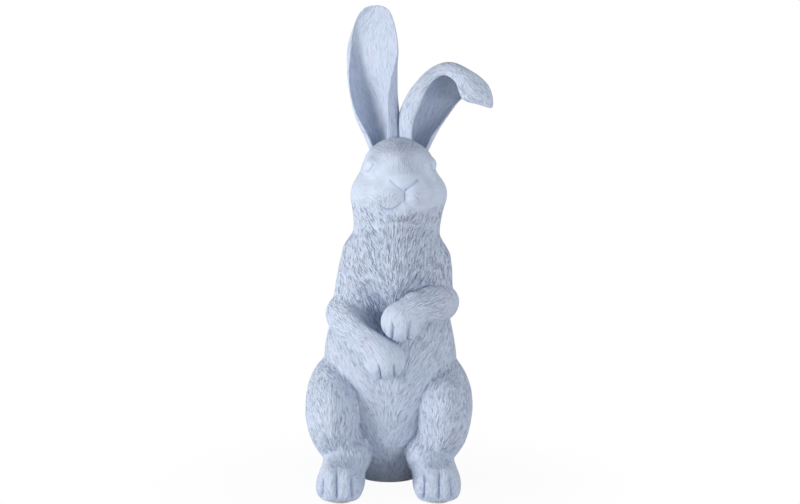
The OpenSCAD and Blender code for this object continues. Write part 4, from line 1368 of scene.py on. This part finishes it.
def felt_material(finish):
    """Pressed wool felt with a fibrous surface."""
    s = new_material("pressed_felt")
    place = s.object_place()
    fibres = s.noise(place, 1300.0, 6.0, 0.75)
    base = s.mix(s.ramp(fibres, 0.3, 0.7), rgba(finish.felt, 0.8), rgba(finish.felt))
    return s.surface(base, 0.95, s.bump(fibres, 0.8, 0.0004))


class RABBIT_OT_finish(bpy.types.Operator):
    """Paints the resin, and finishes the dowels, rods, plug and pads inside and under it"""
    bl_idname = "rabbit.finish"
    bl_label = "Finishes"

    def execute(self, context):
        finish = context.scene.rabbit_finish
        finishes = {"resin": resin_material(finish), "wood_dowel": birch_material(finish),
                    "steel_rod": steel_material(finish), "plug": rubber_material(finish),
                    "felt": felt_material(finish)}
        for name in RESIN_PIECES:
            carved(name).data.materials.append(finishes["resin"])
        for part in frame["record"]["subparts"]:
            node = frame["nodes"][part["node"]]
            if node.hide_render:
                continue
            node.data.materials.clear()
            node.data.materials.append(finishes[part["material_slot"]])
        return {"FINISHED"}


# Stage

def white_rays(s):
    """1 for the rays that see a white background, 0 for all others."""
    return sum(s.node("ShaderNodeLightPath", output=kind) for kind in WHITE_RAYS)


def floor_material():
    """White to the camera, apart from the shadow round the figure's feet."""
    s = new_material("floor_white")
    away = s.node("ShaderNodeVectorMath", {"operation": "LENGTH"}, {0: s.object_place()}, 1)
    clear = s.ramp(away, *SHADOW_ENDS)
    plain = s.node("ShaderNodeBsdfDiffuse", {}, {"Color": rgba((0.9, 0.9, 0.9))})
    glow = s.node("ShaderNodeEmission", {}, {"Color": rgba((1, 1, 1)), "Strength": 1.0})
    factor = white_rays(s) * (0.95 + 0.05 * clear)
    return s.finished(s.node("ShaderNodeMixShader", {}, {0: factor, 1: plain, 2: glow}))


def studio_world(sky):
    """A white background, and even light from all round for the other rays."""
    s = Shader(bpy.data.worlds.new("studio"))
    even = s.node("ShaderNodeBackground", {}, {"Color": rgba(SKY_TINT), "Strength": sky})
    white = s.node("ShaderNodeBackground", {}, {"Color": rgba((1, 1, 1))})
    both = s.node("ShaderNodeMixShader", {}, {0: white_rays(s), 1: even, 2: white})
    return s.finished(both, "ShaderNodeOutputWorld")


def lamp(name, place, width, tint, watts):
    """A round lamp that points at the figure."""
    data = bpy.data.lights.new(name, "AREA")
    data.shape = "DISK"
    data.size = width
    data.energy = watts
    data.color = tint
    made = bpy.data.objects.new(name, data)
    bpy.context.scene.collection.objects.link(made)
    made.location = place
    made.rotation_euler = (Vector(LAMP_TARGET) - Vector(place)).to_track_quat("-Z", "Y").to_euler()


class RABBIT_OT_stage(bpy.types.Operator):
    """Sets the floor, the lamps and the camera"""
    bl_idname = "rabbit.stage"
    bl_label = "Stage"

    def execute(self, context):
        settings = context.scene.rabbit_stage
        bm = bmesh.new()
        bmesh.ops.create_grid(bm, x_segments=1, y_segments=1, size=FLOOR_HALF)
        mesh = bpy.data.meshes.new("floor")
        bm.to_mesh(mesh)
        bm.free()
        mesh.materials.append(floor_material())
        floor = bpy.data.objects.new("floor", mesh)
        context.scene.collection.objects.link(floor)
        for name, (place, width, tint) in LAMPS.items():
            lamp(name, place, width, tint, getattr(settings, name + "_power"))
        context.scene.world = studio_world(settings.sky)
        data = bpy.data.cameras.new("camera")
        data.sensor_width = CAMERA_SENSOR
        data.lens = CAMERA_LENS
        camera = bpy.data.objects.new("camera", data)
        context.scene.collection.objects.link(camera)
        camera.location = CAMERA_PLACE
        camera.rotation_euler = (math.pi / 2 - CAMERA_DIP, 0, 0)
        context.scene.camera = camera
        context.scene.view_settings.view_transform = "Standard"
        return {"FINISHED"}


class RABBIT_PT_panel(bpy.types.Panel):
    """Lists the steps in the 3D view's sidebar"""
    bl_idname = "RABBIT_PT_panel"
    bl_label = "Seated rabbit"
    bl_space_type = "VIEW_3D"
    bl_region_type = "UI"
    bl_category = "Rabbit"

    def draw(self, context):
        for operator in OPERATORS:
            self.layout.operator(operator.bl_idname)


OPERATORS = (RABBIT_OT_body, RABBIT_OT_head, RABBIT_OT_ears, RABBIT_OT_forelegs, RABBIT_OT_haunches,
             RABBIT_OT_feet, RABBIT_OT_tail, RABBIT_OT_fur, RABBIT_OT_finish, RABBIT_OT_stage)
GROUPS = {"rabbit_form": RabbitForm, "rabbit_fur": RabbitFur, "rabbit_finish": RabbitFinish,
          "rabbit_stage": RabbitStage}


def register():
    for name, group in GROUPS.items():
        bpy.utils.register_class(group)
        setattr(bpy.types.Scene, name, bpy.props.PointerProperty(type=group))
    for cls in (*OPERATORS, RABBIT_PT_panel):
        bpy.utils.register_class(cls)


def unregister():
    for cls in reversed((*OPERATORS, RABBIT_PT_panel)):
        bpy.utils.unregister_class(cls)
    for name, group in GROUPS.items():
        delattr(bpy.types.Scene, name)
        bpy.utils.unregister_class(group)


def main():
    register()
    for operator in OPERATORS:
        family, step = operator.bl_idname.split(".")
        getattr(getattr(bpy.ops, family), step)()


if __name__ == "__main__":
    main()
